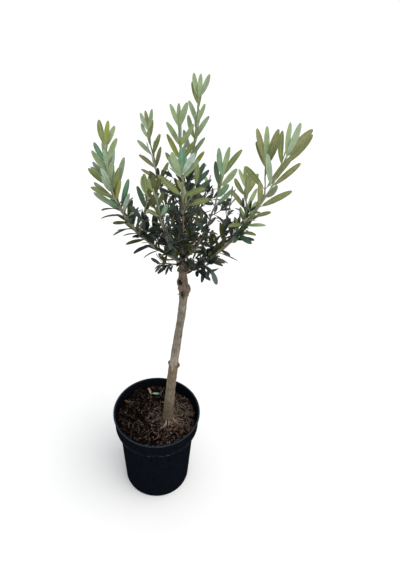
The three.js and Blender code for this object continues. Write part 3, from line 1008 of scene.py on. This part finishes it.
def set_leaf(heap, rng, foot, axis, turn, open_angle, length, width, tone, seek=0.75):
    """A leaf on a shoot: turn is its way round the shoot, open_angle how far it stands off. It twists part
    of the way to look up."""
    out = square_to(axis, turn)
    along = (axis * math.cos(open_angle) + out * math.sin(open_angle)).normalized()
    inner = axis * math.sin(open_angle) - out * math.cos(open_angle)
    face = rolled(across(along, inner + UP * seek), along, rng.uniform(-ROLL_MOST, ROLL_MOST)).normalized()
    add_leaf(heap, foot, along, face, length, width, rng.uniform(-0.1, 0.6), rng.uniform(0.08, 0.38),
             leaf_marks(tone), twist=rng.uniform(-0.35, 0.35))


def grow(leaves, rng, line, starts, ends, gap, leaf, width, open_degrees, tone_at):
    """Sets pairs of leaves along a line, each pair a quarter turn from the last. At its very end the pairs
    are smaller, and an upright pair closes them."""
    travelled = starts * line.length
    turn = rng.uniform(0, math.pi)
    while travelled < ends * line.length:
        share = travelled / line.length
        size = leaf * (1 - 0.3 * max(0, share - 0.72) / 0.28)
        stands = math.radians(open_degrees * (1.35 - 0.55 * share))
        tone = tone_at(share)
        for side in (0, math.pi):
            if rng.random() < LEAF_MISSING:
                continue
            scale = rng.uniform(0.80, 1.16)
            towards = turn + side + rng.uniform(-0.25, 0.25)
            opens = stands * rng.uniform(0.75, 1.25)
            broad = width * scale * rng.uniform(0.9, 1.1)
            foot, axis = line.at(share), line.along(share)
            set_leaf(leaves, rng, foot, axis, towards, opens, size * scale, broad, tone)
        turn += math.pi / 2 + rng.uniform(-0.2, 0.2)
        travelled += gap * rng.uniform(0.8, 1.2) * (1.1 - 0.35 * share)
    if ends < 1:
        return
    for side in (0, math.pi):
        set_leaf(leaves, rng, line.at(1), line.along(1), turn + side, math.radians(rng.uniform(8, 16)),
                 leaf * rng.uniform(0.7, 0.9), width * 0.8, tone_at(1.0), seek=0.2)


TWIG_LIFT, TWIG_SWAY = 0.5, 0.16  # how far a side twig bends up as it grows, and how far it wanders
TWIG_RADIUS, TWIG_THINS = 0.0011, 0.0005
TWIG_STEP = 0.008


def side_twig(leaves, twigs, rng, foot, axis, length, gap, leaf, width, open_degrees, tones, bark):
    """A short twig from foot that bends upwards as it grows, with its own leaves."""
    sway = Vector((rng.uniform(-1, 1), rng.uniform(-1, 1), rng.uniform(-0.3, 0.6))) * TWIG_SWAY
    tip_axis = (axis + UP * TWIG_LIFT + sway).normalized()
    line = Line(foot, foot + axis * length * 0.5, foot + (axis + tip_axis).normalized() * length)
    tone = rng.choice(tones)
    grow(leaves, rng, line, 0.22, 1.0, gap, leaf, width, open_degrees, lambda share: tone)
    steps = max(3, round(length / TWIG_STEP))
    points = [line.at(i / steps) for i in range(steps + 1)]
    add_twig(twigs, points, [TWIG_RADIUS - TWIG_THINS * i / steps for i in range(steps + 1)], bark)


SPRAY_WIDTH, SPRAY_WIDENS = 0.0035, 0.13  # a leaf's width is the first, and its length times the second
# How far a spray's leaves stand off at its start, in degrees, and how much less at its end.
SPRAY_OPEN, SPRAY_CLOSES = 35, 16
# The closing leaves of a spray: the way each leans, and how far, in degrees.
CLOSING = ((Vector((-1, 0, 0)), 15), (Vector((1, 0, 0)), 18), (Vector((0, 1, 0)), 3))


def spray_leaf(leaves, rng, foot, axis, out, stands, face, length, tones):
    """A leaf of a spray, which stands off its shoot's axis towards out."""
    square = across(axis, out)
    along = (axis * math.cos(stands) + square * math.sin(stands)).normalized()
    upper = rolled(across(along, face), along, rng.uniform(-ROLL_MOST, ROLL_MOST))
    bow = square * rng.uniform(-0.0015, 0.0025)
    width = (SPRAY_WIDTH + SPRAY_WIDENS * length) * rng.uniform(0.88, 1.12)
    add_leaf(leaves, foot, along, upper, length, width, rng.uniform(0, 0.35), rng.uniform(0.08, 0.26),
             leaf_marks(rng.choice(tones)), rng.uniform(-0.15, 0.15), bow)


def spray_leaves(leaves, rng, line, starts, leaf, tones):
    """Opposite pairs up a shoot's leafy end, by turns to the left and right and to the front and back. They
    close in towards the tip, where a last pair and one leaf stand upright."""
    travelled = starts * line.length
    sideways = True
    while travelled < 0.98 * line.length:
        share = travelled / line.length
        within = (share - starts) / (1 - starts)
        axis = line.along(share)
        for side in (-1, 1):
            if rng.random() < SPRAY_LEAF_MISSING:
                continue
            swing = rng.uniform(-0.3, 0.3)
            out = Vector((side, swing, 0)) if sideways else Vector((swing, side, 0))
            face = LIGHTWARD if sideways else Vector((rng.choice((-1, 1)), -0.5, 0.3))
            stands = math.radians(rng.uniform(0.75, 1.25) * (SPRAY_OPEN - SPRAY_CLOSES * within))
            length = leaf * rng.uniform(0.85, 1.15) * (1.0 - 0.2 * abs(2 * within - 0.8))
            spray_leaf(leaves, rng, line.at(share), axis, out, stands, face, length, tones)
        sideways = not sideways
        travelled += leaf * rng.uniform(0.24, 0.33)
    axis = line.along(1)
    for out, stands in CLOSING:
        spray_leaf(leaves, rng, line.at(1), axis, out, math.radians(stands), LIGHTWARD,
                   leaf * rng.uniform(0.75, 0.95), tones)


GREEN_BARK, OLD_BARK = 0, 1  # the finishes of the twigs' heap
# A side twig's leaves: how far they stand off in degrees, and their gap, length and width as shares of the
# limb's.
TWIG_OPEN = 42
TWIG_GAP, TWIG_LEAF, TWIG_WIDTH = 0.72, 0.85, 0.88


def limb_foliage(name, seed, twigs):
    """The leaves of one limb: pairs along it, side twigs with small leaves, and the spray at its end."""
    sizes = FOLIAGE[name]
    rng = random.Random(seed)
    line = LINES[name]
    leaves = Heap(f"leaves_{name}", LEAF_FINISHES)

    # Below the sunny share the leaves take the dark tones of painted shade.
    def tones_at(share):
        return sizes["tone"] if share > sizes["sunny"] else PAINTED_SHADE_TONES

    grow(leaves, rng, line, sizes["starts"], sizes["ends"], sizes["gap"], sizes["leaf"], sizes["width"],
         sizes["open"], lambda share: rng.choice(tones_at(share)))
    first, last = min(0.10, sizes["starts"] * 0.6), sizes["ends"] * 0.9
    for k in range(sizes["twigs"]):
        share = first + (last - first) * (k + rng.uniform(0.2, 0.8)) / sizes["twigs"]
        axis = line.along(share)
        out = square_to(axis, GOLDEN_TURN * k + rng.uniform(-0.4, 0.4))
        if out.z < -0.25:
            out = -out
        stands = math.radians(rng.uniform(38, 62))
        grows = axis * math.cos(stands) + out * math.sin(stands)
        sunlit = share > sizes["sunny"]
        length = sizes["twig"] * rng.uniform(0.7, 1.2) * (0.6 if sunlit else 1.0)
        bark = GREEN_BARK if sunlit else OLD_BARK
        gap, leaf, width = sizes["gap"] * TWIG_GAP, sizes["leaf"] * TWIG_LEAF, sizes["width"] * TWIG_WIDTH
        side_twig(leaves, twigs, rng, line.at(share), grows, length, gap, leaf, width, TWIG_OPEN,
                  tones_at(share), bark)
    for owner in (name, *SHOOT_OWNERS.get(name, ())):
        if owner in SPRAYS:
            spray_leaves(leaves, rng, LINES[owner], **SPRAYS[owner])
    return leaves.make()


SHOOT_OWNERS = {}
for shoot_name, shoot in SHOOTS.items():
    SHOOT_OWNERS.setdefault(shoot["on"][0], []).append(shoot_name)


HEAD_BUDS = 9


def heart_foliage(seed, twigs):
    """Short twigs all round the leader with small leaves in the dark tones of painted shade, those of the
    head's own twig, and a tuft of buds on the head."""
    rng = random.Random(seed)
    line = LINES["leader"]
    leaves = Heap("leaves_heart", LEAF_FINISHES)
    for k in range(HEART["twigs"]):
        share = HEART["starts"] + (HEART["ends"] - HEART["starts"]) * (k + 0.5) / HEART["twigs"]
        out = (level(GOLDEN_TURN * k) + UP * rng.uniform(0.2, 0.9)).normalized()
        length = HEART["twig"] * rng.uniform(0.6, 1.25) * (1 - 0.55 * share ** 2)
        side_twig(leaves, twigs, rng, line.at(share), out, length, HEART["gap"], HEART["leaf"],
                  HEART["width"], HEART["open"], PAINTED_SHADE_TONES, OLD_BARK)
    spray_leaves(leaves, rng, LINES["head_twig"], **SPRAYS["head_twig"])
    for k in range(HEAD_BUDS):
        foot = on_stem(0.6370 - 0.0008 * k, CUT_FACING + 11 * (k % 3), 0.0002)
        turn = 2.1 * k
        along = Vector((0.30 + 0.45 * math.cos(turn), -0.75, 0.45 * math.sin(turn) - 0.20)).normalized()
        add_leaf(leaves, foot, along, across(along, LIGHTWARD), 0.0095, 0.0050, 0.3, 0.2,
                 leaf_marks("deep" if k % 3 else "moss"))
    stub = [on_stem(0.6300, 236, 0.0), on_stem(0.6305, 232, 0.0045), on_stem(0.6320, 230, 0.0072)]
    add_twig(twigs, stub, [0.0016, 0.0012, 0.0009], GREEN_BARK, sides=7)
    return leaves.make()


# ---- The pot ----
def quarter_round(radius, height, out, up, first, steps=3):
    """A rounded corner of a profile, as (radius, height): a quarter turn from first, in degrees, round a
    middle, reaching out and up from it."""
    turns = [math.radians(first + 90 * i / steps) for i in range(steps + 1)]
    return [(radius + out * math.cos(turn), height + up * math.sin(turn)) for turn in turns]


WALL_RINGS = 12
FLOOR_RADIUS = 0.0300


def pot():
    """A moulded nursery pot: a tapered wall, a stepped collar, a rolled rim, and drainage holes round its
    foot."""
    outside = [
        (BASE_RADIUS - 0.0085, 0.0016), (BASE_RADIUS - 0.0070, 0.0),
        *quarter_round(BASE_RADIUS - 0.003, 0.004, 0.003, 0.004, -90),
    ]
    for i in range(1, WALL_RINGS):
        share = i / WALL_RINGS
        radius = BASE_RADIUS + (SHOULDER_RADIUS - BASE_RADIUS) * share
        outside.append((radius, 0.004 + (COLLAR_FOOT - 0.008) * share))
    outside += [
        (SHOULDER_RADIUS, COLLAR_FOOT - 0.0040), (SHOULDER_RADIUS + 0.0012, COLLAR_FOOT - 0.0022),
        *quarter_round(COLLAR_RADIUS - 0.0034, COLLAR_FOOT + 0.0024, 0.0025, 0.0032, -90),
        (COLLAR_RADIUS - 0.0005, COLLAR_FOOT + 0.0200),
        (COLLAR_RADIUS, POT_HEIGHT - 0.0055), (COLLAR_RADIUS + 0.0006, POT_HEIGHT - 0.0042),
        *quarter_round(RIM_RADIUS - 0.0010, POT_HEIGHT - 0.0028, 0.0010, 0.0010, -90),
        *quarter_round(RIM_RADIUS - 0.0015, POT_HEIGHT - 0.0014, 0.0015, 0.0014, 0),
    ]
    inside = [
        (COLLAR_RADIUS - 0.0012, POT_HEIGHT - 0.0001), (COLLAR_RADIUS - WALL, POT_HEIGHT - 0.0012),
        (COLLAR_RADIUS - WALL - 0.0012, COLLAR_FOOT + 0.0030),
        (SHOULDER_RADIUS - WALL + 0.0010, COLLAR_FOOT - 0.0006),
        (SHOULDER_RADIUS - WALL, COLLAR_FOOT - 0.0040), (BASE_RADIUS - WALL, 0.0050),
        (BASE_RADIUS - 0.0050, 0.0034), (FLOOR_RADIUS, 0.0032),
    ]
    underside = [(FLOOR_RADIUS, 0.0014), (BASE_RADIUS - 0.0120, 0.0016)]
    drawn_up([(0, 0, height, radius) for radius, height in underside + outside + inside], 128)
    shell = settle(named("pot_shell", POT_PLASTIC))
    for k in range(DRAIN_HOLES):
        angle = (k + 0.5) / DRAIN_HOLES * 2 * math.pi
        place = (DRAIN_RING * math.cos(angle), DRAIN_RING * math.sin(angle), 0.002)
        nothing_selected()
        bpy.ops.mesh.primitive_cylinder_add(vertices=24, radius=DRAIN_RADIUS, depth=0.012, location=place)
        drill = bpy.context.active_object
        modify(shell, "BOOLEAN", operation="DIFFERENCE", object=drill, solver="EXACT")
        bpy.data.objects.remove(drill)
    only(shell)
    turn_faces_out()
    smooth(shell, 32)
    return shell


# ---- The compost and what lies on it ----
INSIDE_RADIUS = COLLAR_RADIUS - WALL - 0.0016
SOIL_RINGS, SOIL_SIDES = 84, 256
# How much lower the compost is by the wall, how steeply it falls across the pot, and how it is heaped at
# the stem.
SOIL_SINKS, SOIL_SLOPES = 0.0016, 0.030
HEAPED, HEAP_RADIUS = 0.0026, 0.030
# The unevenness of its top: how fine each noise is, which layer of it is used for the lumps, and how high
# it stands.
LUMPS = ((42, 0.3, 0.0034), (120, 1.7, 0.0034))
GRAINS = ((260, 0.0022), (700, 0.0010))


def soil_height(x, y):
    """The compost's own lie: level round the stem, a little lower by the wall, with dips and small
    heaps."""
    out = math.hypot(x, y) / INSIDE_RADIUS
    lie = SOIL_TOP - 0.0012 - SOIL_SINKS * max(0, out - 0.5) - SOIL_SLOPES * (x - 0.3 * y) * out
    near_stem = math.exp(-((x - STEM_FOOT.x) ** 2 + (y - STEM_FOOT.y) ** 2) / HEAP_RADIUS ** 2)
    lumps = sum(noise.noise(Vector((x, y, layer)) * size) * high for size, layer, high in LUMPS)
    return lie + lumps + HEAPED * near_stem


def soil():
    """The compost as one closed plug, its top drawn in ring by ring and heaped."""
    rings = [
        (0, 0, 0.0038, FLOOR_RADIUS), (0, 0, 0.0038, BASE_RADIUS - 0.0062),
        (0, 0, 0.0060, BASE_RADIUS - WALL - 0.0006), (0, 0, COLLAR_FOOT - 0.003, SHOULDER_RADIUS - 0.0022),
        (0, 0, COLLAR_FOOT + 0.0036, INSIDE_RADIUS - 0.0004), (0, 0, SOIL_TOP - 0.008, INSIDE_RADIUS),
    ]
    rings += [(0, 0, SOIL_TOP - 0.003, INSIDE_RADIUS * (1 - i / SOIL_RINGS)) for i in range(SOIL_RINGS)]
    drawn_up(rings, SOIL_SIDES)
    plug = settle(named("compost", PEAT))
    for vertex in plug.data.vertices:
        if vertex.co.z > SOIL_TOP - 0.004:
            fine = sum(noise.noise(vertex.co * size) * high for size, high in GRAINS)
            vertex.co.z = soil_height(vertex.co.x, vertex.co.y) + fine
    smooth(plug, 60)
    return plug


def icosahedron():
    """Its corners, one away from its middle, and its twenty faces, each with its corners in outward
    order."""
    golden = (1 + math.sqrt(5)) / 2
    corners = []
    for a in (-1, 1):
        for b in (-golden, golden):
            corners += [(0, a, b), (a, b, 0), (b, 0, a)]
    faces = []
    for i, j, k in combinations(range(12), 3):
        one, two, three = (Vector(corners[index]) for index in (i, j, k))
        if max((one - two).length, (two - three).length, (three - one).length) < 2.1:
            outward = (two - one).cross(three - one).dot(one) > 0
            faces.append([i, j, k] if outward else [i, k, j])
    return np.array(corners) / math.hypot(1, golden), faces


LUMP_CORNERS, LUMP_FACES = icosahedron()


def lump(rng, stretch):
    """The corners of one small uneven crumb."""
    return LUMP_CORNERS * np.array([[rng.uniform(0.72, 1.2)] for _ in LUMP_CORNERS]) * np.array(stretch)


STEM_CLEAR = 0.0165


def free_place(rng, reach):
    """A place on the compost, clear of the stem."""
    while True:
        radius = INSIDE_RADIUS * reach * math.sqrt(rng.random())
        turn = rng.uniform(0, 2 * math.pi)
        x, y = radius * math.cos(turn), radius * math.sin(turn)
        if math.hypot(x - STEM_FOOT.x, y - STEM_FOOT.y) > STEM_CLEAR:
            return x, y


def crumbs():
    """Crumbs of peat, shreds and chips of bark and a little pale grit, all over the compost. The shreds are
    redder at the back and on the left, and greyer on the right."""
    rng = random.Random(7)
    heap = Heap("crumbs", (CRUMB_DARK, CRUMB_BROWN, CHIP_BARK, CHIP_PALE, GRIT, SHRED_GREY))
    dark, brown, chip, pale, grit, grey = range(6)
    # How many, the smallest and the largest size, the proportions, and the finishes of the redder and the
    # greyer.
    kinds = (
        (1300, 0.0010, 0.0026, (1, 0.85, 0.7), (dark, dark)),
        (300, 0.0008, 0.0020, (1, 0.8, 0.7), (brown, brown)),
        (560, 0.0022, 0.0062, (1, 0.26, 0.18), (brown, grey)),
        (360, 0.0024, 0.0066, (1, 0.22, 0.16), (dark, grey)),
        (80, 0.0020, 0.0046, (1, 0.55, 0.28), (chip, chip)),
        (34, 0.0014, 0.0034, (1, 0.42, 0.26), (pale, pale)),
        (44, 0.0006, 0.0013, (1, 0.9, 0.8), (grit, grit)),
    )
    for count, small, large, stretch, (redder, greyer) in kinds:
        for _ in range(count):
            x, y = free_place(rng, 0.985)
            if redder == chip and rng.random() < 0.6:
                x, y = abs(x) * 0.96, -abs(y) * 0.9
            points = lump(rng, stretch)
            size = small + (large - small) * rng.random() ** 2
            pitch = Matrix.Rotation(rng.uniform(-0.5, 0.5), 3, "Y")
            roll = Matrix.Rotation(rng.uniform(-0.6, 0.6), 3, "X")
            turned = Matrix.Rotation(rng.uniform(0, 6.3), 3, "Z") @ (pitch @ roll)
            placed = points * size @ np.array(turned).T
            if np.hypot(placed[:, 0] + x, placed[:, 1] + y).max() > INSIDE_RADIUS - 0.0004:
                continue
            index = greyer if x > rng.uniform(-0.03, 0.05) else redder
            lift = size * max(0.22, stretch[2]) * rng.uniform(0.5, 1.3)
            place = np.array((x, y, soil_height(x, y) + lift))
            heap.add(placed + place, LUMP_FACES, [index] * len(LUMP_FACES))
    return heap.make(degrees=25)


def lie_down(heap, x, y, heading, length, bend, arch, thick, index, steps=8, sides=4):
    """A strand that lies on the compost: it sets out from x, y on a heading and turns by bend in all, and
    arches up by arch."""
    points = []
    for i in range(steps):
        share = i / (steps - 1)
        points.append(Vector((x, y, soil_height(x, y) + thick + arch * math.sin(math.pi * share))))
        heading += bend / (steps - 1)
        x += length / (steps - 1) * math.cos(heading)
        y += length / (steps - 1) * math.sin(heading)
    if max(math.hypot(p.x, p.y) for p in points) > INSIDE_RADIUS - 0.0015:
        return
    radii = [thick * (1 - 0.45 * abs(2 * i / (steps - 1) - 1)) for i in range(steps)]
    add_twig(heap, points, radii, index, sides)


ROOTS_AT_STEM, ROOTS_ON_RIGHT, ROOTS_ANYWHERE = 260, 200, 300
CURLS, FIRST_FIBRES = 16, 20
LOW_ARCH = 0.0012


def rootlets():
    """Fine roots and fibres that lie in loose curls, thickest round the foot of the stem and to its
    right."""
    rng = random.Random(12)
    heap = Heap("fine_roots", (ROOTLET, CRUMB_BROWN, CHIP_PALE, SHRED_GREY, ROOT_PALE))
    fibre, brown, chip, grey, pale = range(5)
    paler = (fibre, grey, fibre, grey, brown)
    darker = (brown, grey, brown, fibre, grey)
    near = ROOTS_AT_STEM + ROOTS_ON_RIGHT
    for k in range(near + ROOTS_ANYWHERE):
        turn = rng.uniform(0, 2 * math.pi)
        if k < ROOTS_AT_STEM:
            radius = 0.014 + 0.030 * rng.random() ** 1.4
            x, y = STEM_FOOT.x + radius * math.cos(turn), STEM_FOOT.y + radius * math.sin(turn)
        elif k < near:
            x, y = 0.062 + 0.026 * rng.uniform(-1, 1), 0.012 + 0.060 * rng.uniform(-1, 1)
        else:
            x, y = free_place(rng, 0.96)
        if math.hypot(x, y) > INSIDE_RADIUS * 0.96:
            continue
        index = rng.choice(paler if k < near else darker)
        lie_down(heap, x, y, rng.uniform(0, 2 * math.pi), rng.uniform(0.006, 0.028), rng.uniform(-2.6, 2.6),
                 rng.uniform(0.0003, 0.0034), rng.uniform(0.00022, 0.00062), index)
    # A nest of curls to the left of the stem.
    for _ in range(CURLS):
        turn = rng.uniform(0, 2 * math.pi)
        radius = rng.uniform(0.006, 0.017)
        x, y = -0.011 + radius * math.cos(turn), -0.006 + radius * math.sin(turn)
        lie_down(heap, x, y, turn + math.pi / 2, rng.uniform(0.012, 0.024), rng.uniform(0.8, 1.9), LOW_ARCH,
                 0.00036, fibre)
    # Thicker fibres that run from the front of the stem's foot.
    for k in range(FIRST_FIBRES):
        turn = math.radians(rng.uniform(-118, 16))
        away = rng.uniform(0.010, 0.017)
        x, y = STEM_FOOT.x + away * math.cos(turn), STEM_FOOT.y + away * math.sin(turn)
        bend = rng.uniform(-2.6, 2.6)
        index = (fibre, chip, fibre, pale)[k % 4]
        lie_down(heap, x, y, turn - bend / 2 + rng.uniform(-0.5, 0.5), rng.uniform(0.012, 0.034), bend,
                 rng.uniform(0.0015, 0.0050), rng.uniform(0.00045, 0.00085), index, steps=12, sides=6)
    return heap.make(degrees=60)


STRANDS, BITS_OF_TWIG = 13, 7


def litter():
    """What lies loose on the compost: a fallen green leaf, a tan chip beside it, curled strips of wood and
    a few bits of twig."""
    rng = random.Random(4)
    heap = Heap("litter", LEAF_FINISHES + [CHIP_PALE, SHRED_GREY, OLD_TWIG_BARK, CHIP_BARK])
    pale, grey, twig, red = (len(LEAF_FINISHES) + i for i in range(4))

    def fallen(x, y, heading, length, width, tone, curl):
        foot = Vector((x, y, soil_height(x, y) + 0.0026))
        along = (level(math.radians(heading)) + UP * 0.05).normalized()
        add_leaf(heap, foot, along, across(along), length, width, curl, 0.2, leaf_marks(tone))

    def lies(x, y, heading, length, bend, thick, index):
        lie_down(heap, x, y, heading, length, bend, LOW_ARCH, thick, index, sides=6)

    fallen(-0.020, 0.070, 0, 0.017, 0.0066, "blue", 0.15)
    fallen(-0.007, 0.074, -20, 0.012, 0.0050, "deep", 0.3)
    lies(-0.030, 0.085, math.radians(-60), 0.019, -0.1, 0.0031, pale)
    lies(-0.085, 0.040, math.radians(-30), 0.013, 0.3, 0.0034, red)
    for k in range(STRANDS):
        turn = math.radians(rng.uniform(-65, 60))
        away = INSIDE_RADIUS * rng.uniform(0.38, 0.78)
        x, y = away * math.cos(turn), away * math.sin(turn)
        index = (grey, grey, red, grey, pale)[k % 5]
        lies(x, y, rng.uniform(0, 2 * math.pi), rng.uniform(0.012, 0.024), rng.uniform(-1.4, 1.4),
             rng.uniform(0.0008, 0.0017), index)
    for k in range(BITS_OF_TWIG):
        turn = math.radians(rng.uniform(150, 270))
        away = INSIDE_RADIUS * rng.uniform(0.35, 0.85)
        x, y = away * math.cos(turn), away * math.sin(turn)
        lies(x, y, rng.uniform(0, 2 * math.pi), rng.uniform(0.014, 0.024), rng.uniform(-0.9, 0.9), 0.0007,
             (grey, twig)[k % 2])
        points = lump(rng, (1, 0.7, 0.6))
        size = rng.uniform(0.0014, 0.0022)
        x, y = -0.6 * y, -0.6 * abs(x)
        place = np.array((x, y, soil_height(x, y) + size * 0.5))
        heap.add(points * size + place, LUMP_FACES, [pale] * len(LUMP_FACES))
    return heap.make()


# ---- Assembly ----
HEART_SEED, FIRST_SEED = 101, 200


def root(piece, slot, *nodes):
    """The piece rides on the one body and stands for CAD nodes. Its slot is not used."""
    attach(piece, "root")
    if nodes:
        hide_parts(*nodes)


root(pot(), "pot", "pot")
root(soil(), "compost", "soil")
root(crumbs(), "compost")
root(rootlets(), "compost")
root(litter(), "leaves")
root(stem(), "bark", "trunk", "bough_leader")
for kind, bark in (("pale", PALE_BOUGH), ("tan", TAN_BOUGH), ("brown", BROWN_BOUGH)):
    limbs = [name for name in LIMBS | SHOOTS if name != "leader" and bough_kind(name) == kind]
    stands_for = [f"bough_{name}" for name in limbs if name in LIMBS]
    root(boughs(f"{kind}_boughs", limbs, bark), "young_bark", *stands_for)

twig_heap = Heap("twigs", (TWIG_BARK, OLD_TWIG_BARK))
root(heart_foliage(HEART_SEED, twig_heap), "leaves", "foliage_heart")
for seed, limb_name in enumerate(FOLIAGE, FIRST_SEED):
    root(limb_foliage(limb_name, seed, twig_heap), "leaves", f"foliage_{limb_name}")
root(twig_heap.make(degrees=60), "young_bark")

# ---- Floor, light and camera ----
FLOOR_SIZE, FLOOR_DROP = 14, 0.0005
FLOOR_COLOUR = (0.92, 0.92, 0.92, 1)
nothing_selected()
bpy.ops.mesh.primitive_plane_add(size=FLOOR_SIZE, location=(0, 0, -FLOOR_DROP))
floor_material = finish("floor", Base_Color=FLOOR_COLOUR, Roughness=0.9, Specular_IOR_Level=0.1)[0]
named("floor", floor_material)

scene = bpy.context.scene
scene.view_settings.view_transform = "Standard"
scene.world = bpy.data.worlds.new("studio")
scene.world.use_nodes = True
sky = scene.world.node_tree.nodes["Background"]
sky.inputs["Color"].default_value = (0.97, 0.985, 1.0, 1)
sky.inputs["Strength"].default_value = 0.80

key = bpy.data.lights.new("key", "SUN")
key.energy = 1.60
key.angle = math.radians(60)
key.color = (1.0, 0.985, 0.955)
KEY_SHINES = Vector((-0.55, 0.30, -1.0))
added("key", key).rotation_euler = KEY_SHINES.to_track_quat("-Z", "Y").to_euler()

CAMERA_PLACE = (0.088, -0.839, 1.338)
CAMERA_LENS = 34.74
LOOKS_DOWN = math.radians(39.3)
ROLL = math.radians(3.18)
camera_data = bpy.data.cameras.new("camera")
camera_data.lens = CAMERA_LENS
scene.camera = added("camera", camera_data)
tilt = Matrix.Rotation(math.pi / 2 - LOOKS_DOWN, 4, "X") @ Matrix.Rotation(ROLL, 4, "Z")
scene.camera.matrix_world = Matrix.Translation(CAMERA_PLACE) @ tilt
